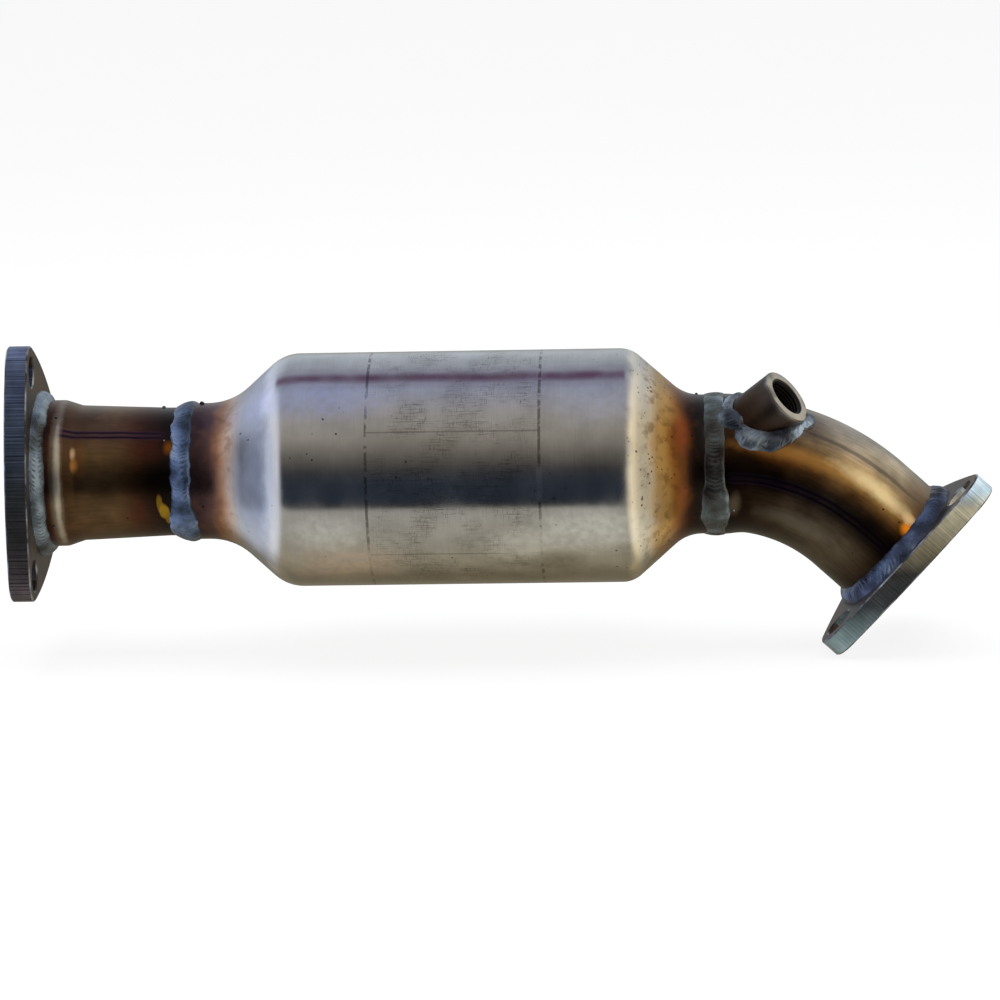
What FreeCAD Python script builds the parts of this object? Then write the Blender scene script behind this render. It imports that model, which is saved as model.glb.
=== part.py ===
import FreeCAD, Part
import math
import os

import Sketcher

# Catalytic converter with a three-bolt inlet flange, a tapered inlet pipe, a spun can
# round a ceramic brick, and a 45 degree outlet elbow that carries a sensor boss.
#
# The origin is the centre of the inlet flange's outer face. +X runs down the can's axis
# with the gas, +Z is up, and the elbow turns down in the XZ plane. Millimetres, degrees.

SIZES = [
    # the can
    ("can_diameter", 105, "outside of the cylindrical can"),
    ("shell_wall", 1.5, "sheet thickness of the can, its cones and necks"),
    ("inlet_neck_step", 3.6, "neck on the inlet side is this much wider than its pipe's end"),
    ("inlet_neck_diameter", "=pipe_end_diameter + inlet_neck_step", "outside of that neck"),
    ("inlet_cone_foot", 96.8, "where the neck line and the inlet cone line cross"),
    ("inlet_cone_top", 121.1, "where the inlet cone line and the can line cross"),
    ("inlet_neck_round", 28, "outside radius in the hollow of the inlet neck"),
    ("inlet_shoulder_round", 19, "outside radius on the inlet shoulder"),
    ("outlet_cone_top", 276.8, "where the can line and the outlet cone line cross"),
    ("outlet_cone_foot", 301, "where the outlet cone line and its neck line cross"),
    ("outlet_shoulder_round", 13, "outside radius on the outlet shoulder"),
    ("outlet_neck_round", 18, "outside radius in the hollow of the outlet neck"),
    ("outlet_neck_step", 0.6, "neck on the outlet side is this much narrower than the elbow"),
    ("outlet_neck_diameter", "=elbow_start_diameter - outlet_neck_step", "outside of that neck"),
    ("outlet_neck_end", 313, "where the outlet neck ends"),
    # the brick and its mat
    ("mat_thickness", 4.5, "support mat, squeezed between can and brick"),
    ("mat_length", 70, "support mat along the can"),
    ("brick_start", 161, "upstream face of the brick"),
    ("brick_length", 76.2, "brick along the can"),
    ("cell_pitch", 6, "from one channel of the brick to the next"),
    ("cell_opening", 5.2, "side of a channel"),
    ("brick_rim", 1.5, "least solid skin outside the channels"),
    # inlet pipe
    ("pipe_wall", 1.5, "wall of the inlet pipe and of the elbow"),
    ("pipe_setback", 2, "pipe ends short of the flange's outer face"),
    ("swell_diameter", 66, "outside of the pipe's expanded end"),
    ("swell_end", 21.5, "where the expanded end starts to close in"),
    ("waist_start", 29, "where the pipe has closed in"),
    ("waist_diameter", 61, "outside of the pipe there"),
    ("taper_end", 68, "where the pipe's taper ends"),
    ("pipe_end_diameter", 57.8, "outside of the pipe at its butt weld"),
    ("pipe_end", 76, "where the inlet pipe ends"),
    ("swell_round", 6, "radii of the bend in the pipe wall at the swell"),
    # flanges
    ("inlet_plate", 10, "thickness of the inlet flange"),
    ("inlet_bolt_circle", 105, "bolt circle of the inlet flange"),
    ("inlet_bow", 6.5, "how far the inlet flange's sides bow outwards"),
    ("inlet_clocking", 11, "turn of the inlet flange about the can's axis"),
    ("outlet_plate", 9.6, "thickness of the outlet flange"),
    ("outlet_bolt_circle", 91, "bolt circle of the outlet flange"),
    ("outlet_land", 6.55, "least width of the outlet flange between its bore and its sides"),
    (
        "outlet_bow",
        "=(elbow_diameter + bore_clearance) / 2 + outlet_land"
        " - outlet_bolt_circle / 4 - lobe_radius",
        "how far the outlet flange's sides bow outwards",
    ),
    ("lobe_radius", 11.6, "rounding of a flange's three corners"),
    ("bolt_hole", 14, "bolt hole of both flanges"),
    ("bore_clearance", 0.2, "flange bore is this much wider than its pipe"),
    ("arris", 0.6, "bevel along the flange's edges"),
    # welds
    ("fillet_reach", 6.5, "flange weld along the pipe"),
    ("fillet_rise", 4.5, "flange weld up the flange"),
    ("fillet_crown", 1.2, "how far a flange weld's face bulges"),
    ("root_gap", 1, "gap between two butted ends, filled by the weld"),
    ("bead_reach", 4.2, "butt weld to each side of the gap"),
    ("inlet_bead_height", 0.3, "inlet butt weld over the neck"),
    ("outlet_bead_height", 0.4, "outlet butt weld over the neck"),
    ("bead_round", 1.5, "rounding of a butt weld's crown"),
    # outlet elbow
    ("elbow_diameter", 60.4, "outside of the elbow once it has drawn in"),
    ("elbow_draw", 2.6, "how much the elbow draws in from its start at the can"),
    ("elbow_start_diameter", "=elbow_diameter + elbow_draw", "outside of the elbow there"),
    ("lead_length", 3.2, "straight stretch before the bend"),
    ("bend_radius", 90, "bend of the elbow's centreline"),
    ("bend_angle", 42.7, "turn of the elbow, downwards"),
    ("reducer_length", 15, "cone over the start of the bend, down to the elbow's diameter"),
    ("reducer_end_drop", 2.8, "that cone's end is narrower than the elbow, flush with its top"),
    ("reducer_end_diameter", "=elbow_diameter - reducer_end_drop", "end of that cone"),
    ("tail_length", 22.5, "straight stretch from the bend to the flange's inner face"),
    # sensor boss
    ("boss_diameter", 26, "outside of the sensor boss"),
    ("boss_bore", 16.4, "tapping bore of the M18 x 1.5 sensor thread"),
    ("boss_mouth", 19, "countersink at the mouth of the thread"),
    ("boss_mouth_depth", 1.3, "depth of that countersink"),
    ("boss_aim", 306.6, "where the boss's line meets the can's axis"),
    ("boss_lean", 43.4, "angle between the boss and the can's axis"),
    ("boss_clocking", 26.6, "turn of the boss from the top towards -Y"),
    ("boss_root_depth", 0.2, "boss's blank starts this much short of the elbow's radius"),
    ("boss_root", "=elbow_diameter / 2 - boss_root_depth", "where that is on the boss's line"),
    ("boss_stand", 24.3, "boss's face is this much beyond the elbow's radius"),
    ("boss_face", "=elbow_diameter / 2 + boss_stand", "where that is on the boss's line"),
    ("port_diameter", 19, "hole in the elbow under the boss"),
    ("boss_weld_foot", 5.9, "boss weld's cone beyond the boss, at the blank's start"),
    ("boss_weld_top", 2, "boss weld's cone beyond the boss, at the boss's face"),
    ("boss_weld_height", 2.2, "boss weld above the elbow"),
]

BEND = "Sizes.bend_angle * 1deg"


def fill_sheet(doc):
    """Write every driving size, with its alias and its meaning, and return the sheet."""
    sheet = doc.addObject("Spreadsheet::Sheet", "Sizes")
    for row, (alias, value, meaning) in enumerate(SIZES, start=1):
        sheet.set(f"A{row}", alias)
        sheet.set(f"B{row}", str(value))
        sheet.set(f"C{row}", meaning)
        sheet.setAlias(f"B{row}", alias)
    doc.recompute()
    return sheet


# ---- helpers that sketch, spin and find edges -----------------------------------------


def new_body(doc, label):
    body = doc.addObject("PartDesign::Body", label)
    body.Label = label
    return body


def origin_part(body, role):
    """Return the body's own origin plane or axis with this role."""
    for feature in body.Origin.OriginFeatures:
        if feature.Role == role:
            return feature
    raise ValueError(f"{body.Label} has no {role}")


def new_sketch(body, name, plane):
    sketch = body.newObject("Sketcher::SketchObject", name)
    sketch.AttachmentSupport = [(origin_part(body, plane), "")]
    sketch.MapMode = "FlatFace"
    return sketch


def bind(sketch, constraint, expression):
    """Add a dimension to the sketch and tie it to the sheet."""
    index = sketch.addConstraint(constraint)
    sketch.setExpression(f"Constraints[{index}]", expression)


def closed_outline(body, name, plane, corners, rounds=()):
    """Sketch a closed polygon; each corner is a pair of expressions.

    rounds holds (corner's number, alias of its radius, radius) for the rounded corners.
    """
    sketch = new_sketch(body, name, plane)
    count = len(corners)
    turn = 2 * math.pi / count
    ring = [FreeCAD.Vector(math.cos(turn * i), math.sin(turn * i), 0) * 100 for i in range(count)]
    for i in range(count):
        sketch.addGeometry(Part.LineSegment(ring[i], ring[(i + 1) % count]))
    for i in range(count):
        sketch.addConstraint(Sketcher.Constraint("Coincident", i, 2, (i + 1) % count, 1))
    for i, (across, up) in enumerate(corners):
        bind(sketch, Sketcher.Constraint("DistanceX", -1, 1, i, 1, ring[i].x), across)
        bind(sketch, Sketcher.Constraint("DistanceY", -1, 1, i, 1, ring[i].y), up)
    sketch.recompute()
    for corner, alias, radius in rounds:
        sketch.fillet(corner - 1, corner, *sketch_near(sketch, corner), radius, True, True)
        arc = len(sketch.Geometry) - 1
        while not isinstance(sketch.Geometry[arc], Part.ArcOfCircle):
            arc -= 1
        bind(sketch, Sketcher.Constraint("Radius", arc, radius), f"Sizes.{alias}")
    return sketch


def sketch_near(sketch, corner):
    """Points halfway along the two lines that meet at a corner."""
    before = sketch.Geometry[corner - 1]
    after = sketch.Geometry[corner]
    return (before.StartPoint + before.EndPoint) / 2, (after.StartPoint + after.EndPoint) / 2


def spin(body, name, sketch):
    """Revolve a sketch of the XZ plane about the X axis."""
    turned = body.newObject("PartDesign::Revolution", name)
    turned.Profile = sketch
    turned.ReferenceAxis = (sketch, ["H_Axis"])
    turned.Angle = 360
    return turned


def hollow(doc, body, base, wall):
    """Take the inside out of a spun piece and leave its two flat ends open."""
    doc.recompute()
    ends = []
    for number, face in enumerate(base.Shape.Faces, start=1):
        if isinstance(face.Surface, Part.Plane):
            ends.append(f"Face{number}")
    shelled = body.newObject("PartDesign::Thickness", "Wall")
    shelled.Base = (base, ends)
    shelled.Reversed = True
    shelled.Join = 0
    shelled.setExpression("Value", wall)
    doc.recompute()
    return shelled


# ---- the can and what it holds --------------------------------------------------------


def make_shell(doc, size):
    """One spun sheet: inlet neck, inlet cone, can, outlet cone, outlet neck."""
    body = new_body(doc, "converter_shell")
    can = "Sizes.can_diameter / 2"
    inlet = "Sizes.inlet_neck_diameter / 2"
    outlet = "Sizes.outlet_neck_diameter / 2"
    neck_start = "Sizes.pipe_end + Sizes.root_gap"
    corners = [
        (neck_start, "0"),
        (neck_start, inlet),
        ("Sizes.inlet_cone_foot", inlet),
        ("Sizes.inlet_cone_top", can),
        ("Sizes.outlet_cone_top", can),
        ("Sizes.outlet_cone_foot", outlet),
        ("Sizes.outlet_neck_end", outlet),
        ("Sizes.outlet_neck_end", "0"),
    ]
    aliases = ["inlet_neck_round", "inlet_shoulder_round", "outlet_shoulder_round",
               "outlet_neck_round"]
    rounds = [(corner, alias, size[alias]) for corner, alias in enumerate(aliases, start=2)]
    outline = closed_outline(body, "SpunOutline", "XZ_Plane", corners, rounds)
    spun = spin(body, "Spun", outline)
    hollow(doc, body, spun, "Sizes.shell_wall")
    return body


def brick_radius(size):
    return size["can_diameter"] / 2 - size["shell_wall"] - size["mat_thickness"]


def make_mat(doc):
    """The fibre mat that grips the brick, centred along it."""
    outside = "Sizes.can_diameter / 2 - Sizes.shell_wall"
    middle = "Sizes.brick_start + Sizes.brick_length / 2"
    start = f"{middle} - Sizes.mat_length / 2"
    body = new_body(doc, "support_mat")
    corners = [
        (start, f"{outside} - Sizes.mat_thickness"),
        (start, outside),
        (f"{middle} + Sizes.mat_length / 2", outside),
        (f"{middle} + Sizes.mat_length / 2", f"{outside} - Sizes.mat_thickness"),
    ]
    spin(body, "Spun", closed_outline(body, "MatOutline", "XZ_Plane", corners))
    return body


def square_wire(across, up, side):
    half = side / 2
    corners = [(-half, -half), (half, -half), (half, half), (-half, half), (-half, -half)]
    return Part.makePolygon([FreeCAD.Vector(0, across + y, up + z) for y, z in corners])


def make_brick(doc, size):
    """The extruded ceramic brick: a disc with whole square channels inside its skin."""
    radius = brick_radius(size)
    pitch = size["cell_pitch"]
    opening = size["cell_opening"]
    reach = int(radius / pitch) + 1
    circle = Part.makeCircle(radius, FreeCAD.Vector(), FreeCAD.Vector(1, 0, 0))
    section = Part.Face(Part.Wire(circle))
    channels = []
    for row in range(-reach, reach + 1):
        for column in range(-reach, reach + 1):
            corner_y = abs(row * pitch) + opening / 2
            corner_z = abs(column * pitch) + opening / 2
            if math.hypot(corner_y, corner_z) <= radius - size["brick_rim"]:
                channels.append(square_wire(row * pitch, column * pitch, opening))
    section = Part.Face([section.OuterWire] + channels)
    section.validate()
    brick = doc.addObject("Part::Feature", "catalyst_substrate")
    brick.Label = "catalyst_substrate"
    brick.Shape = section.extrude(FreeCAD.Vector(size["brick_length"], 0, 0))
    brick.Placement.Base = FreeCAD.Vector(size["brick_start"], 0, 0)
    return brick


# ---- inlet pipe -----------------------------------------------------------------------


def make_inlet_pipe(doc, size):
    """The pipe from the inlet flange to the can: expanded end, shoulder, slow taper."""
    body = new_body(doc, "inlet_pipe")
    swell = "Sizes.swell_diameter / 2"
    end = "Sizes.pipe_end_diameter / 2"
    corners = [
        ("Sizes.pipe_setback", "0"),
        ("Sizes.pipe_setback", swell),
        ("Sizes.swell_end", swell),
        ("Sizes.waist_start", "Sizes.waist_diameter / 2"),
        ("Sizes.taper_end", end),
        ("Sizes.pipe_end", end),
        ("Sizes.pipe_end", "0"),
    ]
    rounds = [(corner, "swell_round", size["swell_round"]) for corner in (2, 3)]
    outline = closed_outline(body, "PipeOutline", "XZ_Plane", corners, rounds)
    spun = spin(body, "Spun", outline)
    hollow(doc, body, spun, "Sizes.pipe_wall")
    return body


# ---- flanges --------------------------------------------------------------------------


def flange_outline(body, size, bolt_circle, bow):
    """Three corner arcs round the bolt holes, joined by three long bowed sides."""
    sketch = new_sketch(body, "PlateOutline", "YZ_Plane")
    reach = size[bolt_circle] / 2
    lobe = size["lobe_radius"]
    half_side = reach * math.sin(math.radians(60))
    arm = (size[bow] ** 2 + half_side ** 2) / (2 * size[bow])
    spread = math.degrees(math.asin(half_side / arm))
    inset = arm - size[bow] - reach / 2
    normal = FreeCAD.Vector(0, 0, 1)

    def polar(distance, angle):
        turn = math.radians(angle)
        return FreeCAD.Vector(distance * math.cos(turn), distance * math.sin(turn), 0)

    def arc(centre, radius, middle, half):
        first, last = math.radians(middle - half), math.radians(middle + half)
        return Part.ArcOfCircle(Part.Circle(centre, normal, radius), first, last)

    for corner in (0, 120, 240):
        sketch.addGeometry(arc(polar(reach, corner), lobe, corner, 60 - spread))
        side = corner + 60
        sketch.addGeometry(arc(polar(-inset, side), arm + lobe, side, spread))
    for index in range(6):
        after = (index + 1) % 6
        sketch.addConstraint(Sketcher.Constraint("Tangent", index, 2, after, 1))
    half = f"Sizes.{bolt_circle} / 2"
    side_radius = (
        f"(Sizes.{bow} ^ 2 + ({half} * sin(60deg)) ^ 2) / (2 * Sizes.{bow}) + Sizes.lobe_radius"
    )
    for number, corner in enumerate((0, 120, 240)):
        centre = polar(reach, corner)
        lobe_arc = 2 * number
        bind(sketch, Sketcher.Constraint("DistanceX", -1, 1, lobe_arc, 3, centre.x),
             f"{half} * cos({corner}deg)")
        bind(sketch, Sketcher.Constraint("DistanceY", -1, 1, lobe_arc, 3, centre.y),
             f"{half} * sin({corner}deg)")
        bind(sketch, Sketcher.Constraint("Radius", lobe_arc, lobe), "Sizes.lobe_radius")
        bind(sketch, Sketcher.Constraint("Radius", lobe_arc + 1, arm + lobe), side_radius)
    return sketch


def circle_sketch(body, name, plane, across, diameter):
    """Sketch one circle on the sketch's first axis; place and diameter are expressions."""
    sketch = new_sketch(body, name, plane)
    sketch.addGeometry(Part.Circle(FreeCAD.Vector(1, 0, 0), FreeCAD.Vector(0, 0, 1), 5))
    bind(sketch, Sketcher.Constraint("DistanceX", -1, 1, 0, 3, 1), across)
    sketch.addConstraint(Sketcher.Constraint("PointOnObject", 0, 3, -1))
    bind(sketch, Sketcher.Constraint("Diameter", 0, 10), diameter)
    return sketch


def cut_through(doc, body, name, sketch):
    """Pocket right through the plate, towards +X, and make sure that it cuts."""
    doc.recompute()
    before = body.Tip.Shape.Volume
    pocket = body.newObject("PartDesign::Pocket", name)
    pocket.Profile = sketch
    pocket.Type = "ThroughAll"
    pocket.Reversed = True
    doc.recompute()
    if pocket.Shape.Volume > before - 1:
        raise ValueError(f"{body.Label}: {name} cuts nothing")
    return pocket


def make_flange(doc, size, label, sizes):
    """A laser-cut plate with three bolt holes; it stands on its own YZ plane."""
    plate, bolt_circle, bow, bore = sizes
    body = new_body(doc, label)
    pad = body.newObject("PartDesign::Pad", "Plate")
    pad.Profile = flange_outline(body, size, bolt_circle, bow)
    pad.setExpression("Length", f"Sizes.{plate}")
    cut_through(doc, body, "Bore", circle_sketch(body, "BoreCircle", "YZ_Plane", "0", bore))
    hole_circle = circle_sketch(
        body, "HoleCircle", "YZ_Plane", f"Sizes.{bolt_circle} / 2", "Sizes.bolt_hole"
    )
    hole = cut_through(doc, body, "BoltHole", hole_circle)
    pattern = body.newObject("PartDesign::PolarPattern", "BoltHoles")
    pattern.Originals = [hole]
    pattern.Axis = (origin_part(body, "X_Axis"), [""])
    pattern.Angle = 360
    pattern.Occurrences = 3
    body.Tip = pattern
    doc.recompute()
    rim = []
    for number, edge in enumerate(pattern.Shape.Edges, start=1):
        if isinstance(edge.Curve, Part.Circle) and not edge.isClosed():
            rim.append(f"Edge{number}")
    bevel = body.newObject("PartDesign::Chamfer", "Arris")
    bevel.Base = (pattern, rim)
    bevel.setExpression("Size", "Sizes.arris")
    doc.recompute()
    return body


# ---- outlet elbow ---------------------------------------------------------------------


ELBOW_START = "(Sizes.outlet_neck_end + Sizes.root_gap)"
BEND_START = f"({ELBOW_START} + Sizes.lead_length)"


def lay_in_plane(thing, across, up, turn):
    """Place a thing in the XZ plane, turned about Y; all three are expressions."""
    quarter = FreeCAD.Rotation(FreeCAD.Vector(0, 1, 0), 90)
    thing.Placement = FreeCAD.Placement(FreeCAD.Vector(), quarter)
    thing.setExpression("Placement.Base.x", across)
    thing.setExpression("Placement.Base.z", up)
    thing.setExpression("Placement.Rotation.Angle", turn)


def bend_place(angle, beyond="0"):
    """Expressions for the centreline's place at this angle, and so far beyond it."""
    across = f"{BEND_START} + Sizes.bend_radius * sin({angle}) + {beyond} * cos({angle})"
    up = f"-Sizes.bend_radius * (1 - cos({angle})) - {beyond} * sin({angle})"
    return across, up


def make_elbow_solid(doc, name, growth, tail):
    """A solid of the elbow's outside, grown by an expression, to cut or be cut."""
    pipe = f"Sizes.elbow_diameter / 2 + {growth}"
    lead = doc.addObject("Part::Cylinder", f"{name}Lead")
    lead.setExpression("Radius", f"Sizes.elbow_start_diameter / 2 + {growth}")
    lead.setExpression("Height", "Sizes.lead_length")
    lay_in_plane(lead, ELBOW_START, "0", "90deg")
    reducer = doc.addObject("Part::Cone", f"{name}Reducer")
    reducer.setExpression("Radius1", f"Sizes.elbow_start_diameter / 2 + {growth}")
    reducer.setExpression("Radius2", f"Sizes.reducer_end_diameter / 2 + {growth}")
    reducer.setExpression("Height", "Sizes.reducer_length")
    lay_in_plane(reducer, BEND_START, "0", "90deg")
    bend = doc.addObject("Part::Torus", f"{name}Bend")
    bend.setExpression("Radius1", "Sizes.bend_radius")
    bend.setExpression("Radius2", pipe)
    bend.setExpression("Angle3", BEND)
    down_and_on = FreeCAD.Rotation(
        FreeCAD.Vector(0, 0, 1), FreeCAD.Vector(1, 0, 0), FreeCAD.Vector(0, 1, 0), "XYZ"
    )
    bend.Placement = FreeCAD.Placement(FreeCAD.Vector(), down_and_on)
    bend.setExpression("Placement.Base.x", BEND_START)
    bend.setExpression("Placement.Base.z", "-Sizes.bend_radius")
    end = doc.addObject("Part::Cylinder", f"{name}Tail")
    end.setExpression("Radius", pipe)
    end.setExpression("Height", tail)
    lay_in_plane(end, *bend_place(BEND), f"90deg + {BEND}")
    whole = doc.addObject("Part::MultiFuse", name)
    whole.Shapes = [lead, reducer, bend, end]
    doc.recompute()
    return whole


def boss_placement(size, distance):
    """Where the boss's line is, this far along it from the can's axis."""
    swing = FreeCAD.Rotation(FreeCAD.Vector(1, 0, 0), size["boss_clocking"])
    lean = FreeCAD.Rotation(FreeCAD.Vector(0, 1, 0), 90 - size["boss_lean"])
    turn = swing * lean
    along = turn.multVec(FreeCAD.Vector(0, 0, distance))
    return FreeCAD.Placement(FreeCAD.Vector(size["boss_aim"], 0, 0) + along, turn)


def boss_cylinder(doc, size, name, diameter, start, height):
    """A cylinder on the boss's line; diameter and height are expressions."""
    cylinder = doc.addObject("Part::Cylinder", name)
    cylinder.setExpression("Radius", f"({diameter}) / 2")
    cylinder.setExpression("Height", height)
    cylinder.Placement = boss_placement(size, start)
    return cylinder


def cut(doc, name, base, tool):
    result = doc.addObject("Part::Cut", name)
    result.Base = base
    result.Tool = tool
    return result


def make_elbow_group(doc, size):
    """The elbow, pierced under the boss, the boss coped to it, and the weld round it."""
    to_bore_end = "Sizes.tail_length + Sizes.outlet_plate - Sizes.pipe_setback"
    outside = make_elbow_solid(doc, "ElbowOutside", "0", to_bore_end)
    inside = make_elbow_solid(doc, "ElbowInside", "(-Sizes.pipe_wall)", to_bore_end)
    grown = make_elbow_solid(doc, "WeldSkin", "Sizes.boss_weld_height", "Sizes.tail_length")
    blank_height = "Sizes.boss_face - Sizes.boss_root"
    root = size["boss_root"]

    port = boss_cylinder(doc, size, "Port", "Sizes.port_diameter", root, blank_height)
    tube = cut(doc, "ElbowTube", outside, inside)
    elbow = cut(doc, "outlet_elbow", tube, port)

    blank = boss_cylinder(doc, size, "BossBlank", "Sizes.boss_diameter", root, blank_height)
    drill = boss_cylinder(doc, size, "BossDrill", "Sizes.boss_bore", root, blank_height)
    mouth = doc.addObject("Part::Cone", "BossMouth")
    mouth.setExpression("Radius1", "Sizes.boss_bore / 2")
    mouth.setExpression("Radius2", "Sizes.boss_mouth / 2")
    mouth.setExpression("Height", "Sizes.boss_mouth_depth")
    mouth.Placement = boss_placement(size, size["boss_face"] - size["boss_mouth_depth"])
    coped = cut(doc, "BossCoped", blank, outside)
    drilled = cut(doc, "BossDrilled", coped, drill)
    boss = cut(doc, "sensor_boss", drilled, mouth)

    cone = doc.addObject("Part::Cone", "WeldCone")
    cone.setExpression("Radius1", "Sizes.boss_diameter / 2 + Sizes.boss_weld_foot")
    cone.setExpression("Radius2", "Sizes.boss_diameter / 2 + Sizes.boss_weld_top")
    cone.setExpression("Height", blank_height)
    cone.Placement = boss_placement(size, root)
    collar = doc.addObject("Part::Common", "WeldCollar")
    collar.Base = cone
    collar.Tool = grown
    off_pipe = cut(doc, "WeldOffPipe", collar, outside)
    weld = cut(doc, "sensor_boss_weld", off_pipe, blank)
    doc.recompute()
    return [elbow, boss, weld]


# ---- welds ----------------------------------------------------------------------------


def make_fillet_weld(doc, label, pipe, plate):
    """A convex fillet weld between a flange's inner face and its pipe."""
    body = new_body(doc, label)
    corners = [
        (plate, pipe),
        (plate, f"{pipe} + Sizes.fillet_rise"),
        (f"{plate} + Sizes.fillet_reach / 2 + Sizes.fillet_crown / 2",
         f"{pipe} + Sizes.fillet_rise / 2 + Sizes.fillet_crown / 2"),
        (f"{plate} + Sizes.fillet_reach", pipe),
    ]
    spin(body, "Spun", closed_outline(body, "WeldOutline", "XZ_Plane", corners))
    return body


def make_butt_weld(doc, size, label, ends, height):
    """A butt weld that fills the gap between two tube ends and stands over both.

    ends names the sizes: where the first tube ends, its diameter, the second's, the wider.
    """
    edge, first, second, widest = ends
    body = new_body(doc, label)
    corners = [
        (f"Sizes.{edge} - Sizes.bead_reach", f"Sizes.{first} / 2"),
        (f"Sizes.{edge} - Sizes.bead_reach / 2", f"Sizes.{widest} / 2 + Sizes.{height}"),
        (f"Sizes.{edge} + Sizes.root_gap + Sizes.bead_reach / 2",
         f"Sizes.{widest} / 2 + Sizes.{height}"),
        (f"Sizes.{edge} + Sizes.root_gap + Sizes.bead_reach", f"Sizes.{second} / 2"),
        (f"Sizes.{edge} + Sizes.root_gap", f"Sizes.{second} / 2"),
        (f"Sizes.{edge} + Sizes.root_gap", f"Sizes.{second} / 2 - Sizes.shell_wall"),
        (f"Sizes.{edge}", f"Sizes.{first} / 2 - Sizes.pipe_wall"),
        (f"Sizes.{edge}", f"Sizes.{first} / 2"),
    ]
    rounds = [(corner, "bead_round", size["bead_round"]) for corner in (1, 2)]
    spin(body, "Spun", closed_outline(body, "WeldOutline", "XZ_Plane", corners, rounds))
    return body


# ---- the whole part -------------------------------------------------------------------


def check_and_write(doc, pieces):
    """Stop on any failed object or bad shape, then write each piece to its own file."""
    for thing in doc.Objects:
        if "Invalid" in thing.State or "Error" in thing.State:
            raise ValueError(f"{thing.Label} failed: {thing.State}")
    for piece in pieces:
        shape = piece.Shape
        if shape.isNull() or not shape.isValid() or len(shape.Solids) != 1:
            raise ValueError(f"{piece.Label} has no single valid solid")
    os.makedirs("parts", exist_ok=True)
    for piece in pieces:
        piece.Shape.exportStep(f"parts/{piece.Label}.step")
        print(piece.Label, round(piece.Shape.Volume / 1000, 2), "cm3")


def main():
    doc = FreeCAD.newDocument("CatalyticConverter")
    sheet = fill_sheet(doc)
    size = {alias: float(sheet.get(alias)) for alias, _, _ in SIZES}

    shell = make_shell(doc, size)
    mat = make_mat(doc)
    brick = make_brick(doc, size)
    pipe = make_inlet_pipe(doc, size)

    inlet_sizes = (
        "inlet_plate", "inlet_bolt_circle", "inlet_bow",
        "Sizes.swell_diameter + Sizes.bore_clearance",
    )
    inlet_flange = make_flange(doc, size, "inlet_flange", inlet_sizes)
    clocking = FreeCAD.Rotation(FreeCAD.Vector(1, 0, 0), -size["inlet_clocking"])
    inlet_flange.Placement = FreeCAD.Placement(FreeCAD.Vector(), clocking)

    outlet_sizes = (
        "outlet_plate", "outlet_bolt_circle", "outlet_bow",
        "Sizes.elbow_diameter + Sizes.bore_clearance",
    )
    outlet_flange = make_flange(doc, size, "outlet_flange", outlet_sizes)
    elbow, boss, boss_weld = make_elbow_group(doc, size)

    # the outlet flange's own YZ plane is its inner face, where the weld stands
    inner_face = bend_place(BEND, "Sizes.tail_length")
    lay_in_plane(outlet_flange, *inner_face, BEND)
    inlet_weld = make_fillet_weld(
        doc, "inlet_flange_weld", "Sizes.swell_diameter / 2", "Sizes.inlet_plate"
    )
    outlet_weld = make_fillet_weld(
        doc, "outlet_flange_weld", "Sizes.elbow_diameter / 2", "0"
    )
    lay_in_plane(outlet_weld, *inner_face, f"180deg + {BEND}")

    inlet_ends = (
        "pipe_end", "pipe_end_diameter", "inlet_neck_diameter", "inlet_neck_diameter"
    )
    inlet_bead = make_butt_weld(doc, size, "inlet_neck_weld", inlet_ends, "inlet_bead_height")
    outlet_ends = (
        "outlet_neck_end", "outlet_neck_diameter", "elbow_start_diameter", "elbow_start_diameter"
    )
    outlet_bead = make_butt_weld(
        doc, size, "outlet_neck_weld", outlet_ends, "outlet_bead_height"
    )
    doc.recompute()
    pieces = [
        inlet_flange, inlet_weld, pipe, inlet_bead, shell, mat, brick,
        outlet_bead, elbow, boss, boss_weld, outlet_weld, outlet_flange,
    ]
    check_and_write(doc, pieces)


main()
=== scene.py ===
import math
from bisect import bisect_left

import bmesh
import bpy
from mathutils import Matrix, Vector, noise
from mathutils.bvhtree import BVHTree


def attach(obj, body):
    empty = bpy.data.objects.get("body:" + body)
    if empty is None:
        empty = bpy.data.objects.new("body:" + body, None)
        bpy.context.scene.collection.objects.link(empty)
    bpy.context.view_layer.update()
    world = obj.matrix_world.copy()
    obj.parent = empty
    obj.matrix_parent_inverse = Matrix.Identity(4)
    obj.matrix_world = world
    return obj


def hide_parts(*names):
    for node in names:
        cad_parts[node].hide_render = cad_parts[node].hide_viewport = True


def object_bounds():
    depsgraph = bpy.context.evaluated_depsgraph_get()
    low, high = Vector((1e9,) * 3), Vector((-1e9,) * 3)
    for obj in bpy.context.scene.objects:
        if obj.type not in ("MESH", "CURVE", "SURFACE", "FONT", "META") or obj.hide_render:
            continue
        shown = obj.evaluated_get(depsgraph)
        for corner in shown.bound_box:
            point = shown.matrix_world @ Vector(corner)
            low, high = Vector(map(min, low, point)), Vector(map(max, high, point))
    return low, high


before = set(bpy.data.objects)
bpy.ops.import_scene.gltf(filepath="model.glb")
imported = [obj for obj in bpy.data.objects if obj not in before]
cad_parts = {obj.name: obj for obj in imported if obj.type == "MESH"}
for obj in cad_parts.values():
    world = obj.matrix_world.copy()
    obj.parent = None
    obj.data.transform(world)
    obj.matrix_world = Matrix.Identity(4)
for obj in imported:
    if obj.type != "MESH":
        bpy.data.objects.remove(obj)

bl_info = {
    "name": "Catalytic Converter",
    "version": (1, 0, 0),
    "blender": (4, 5, 0),
    "location": "3D View > Sidebar > Converter",
    "description": "Builds a welded stainless catalytic converter with its heat tints",
    "category": "Add Mesh",
}

MM = 0.001
CAD_BOX = [list(corner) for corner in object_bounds()]

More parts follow.
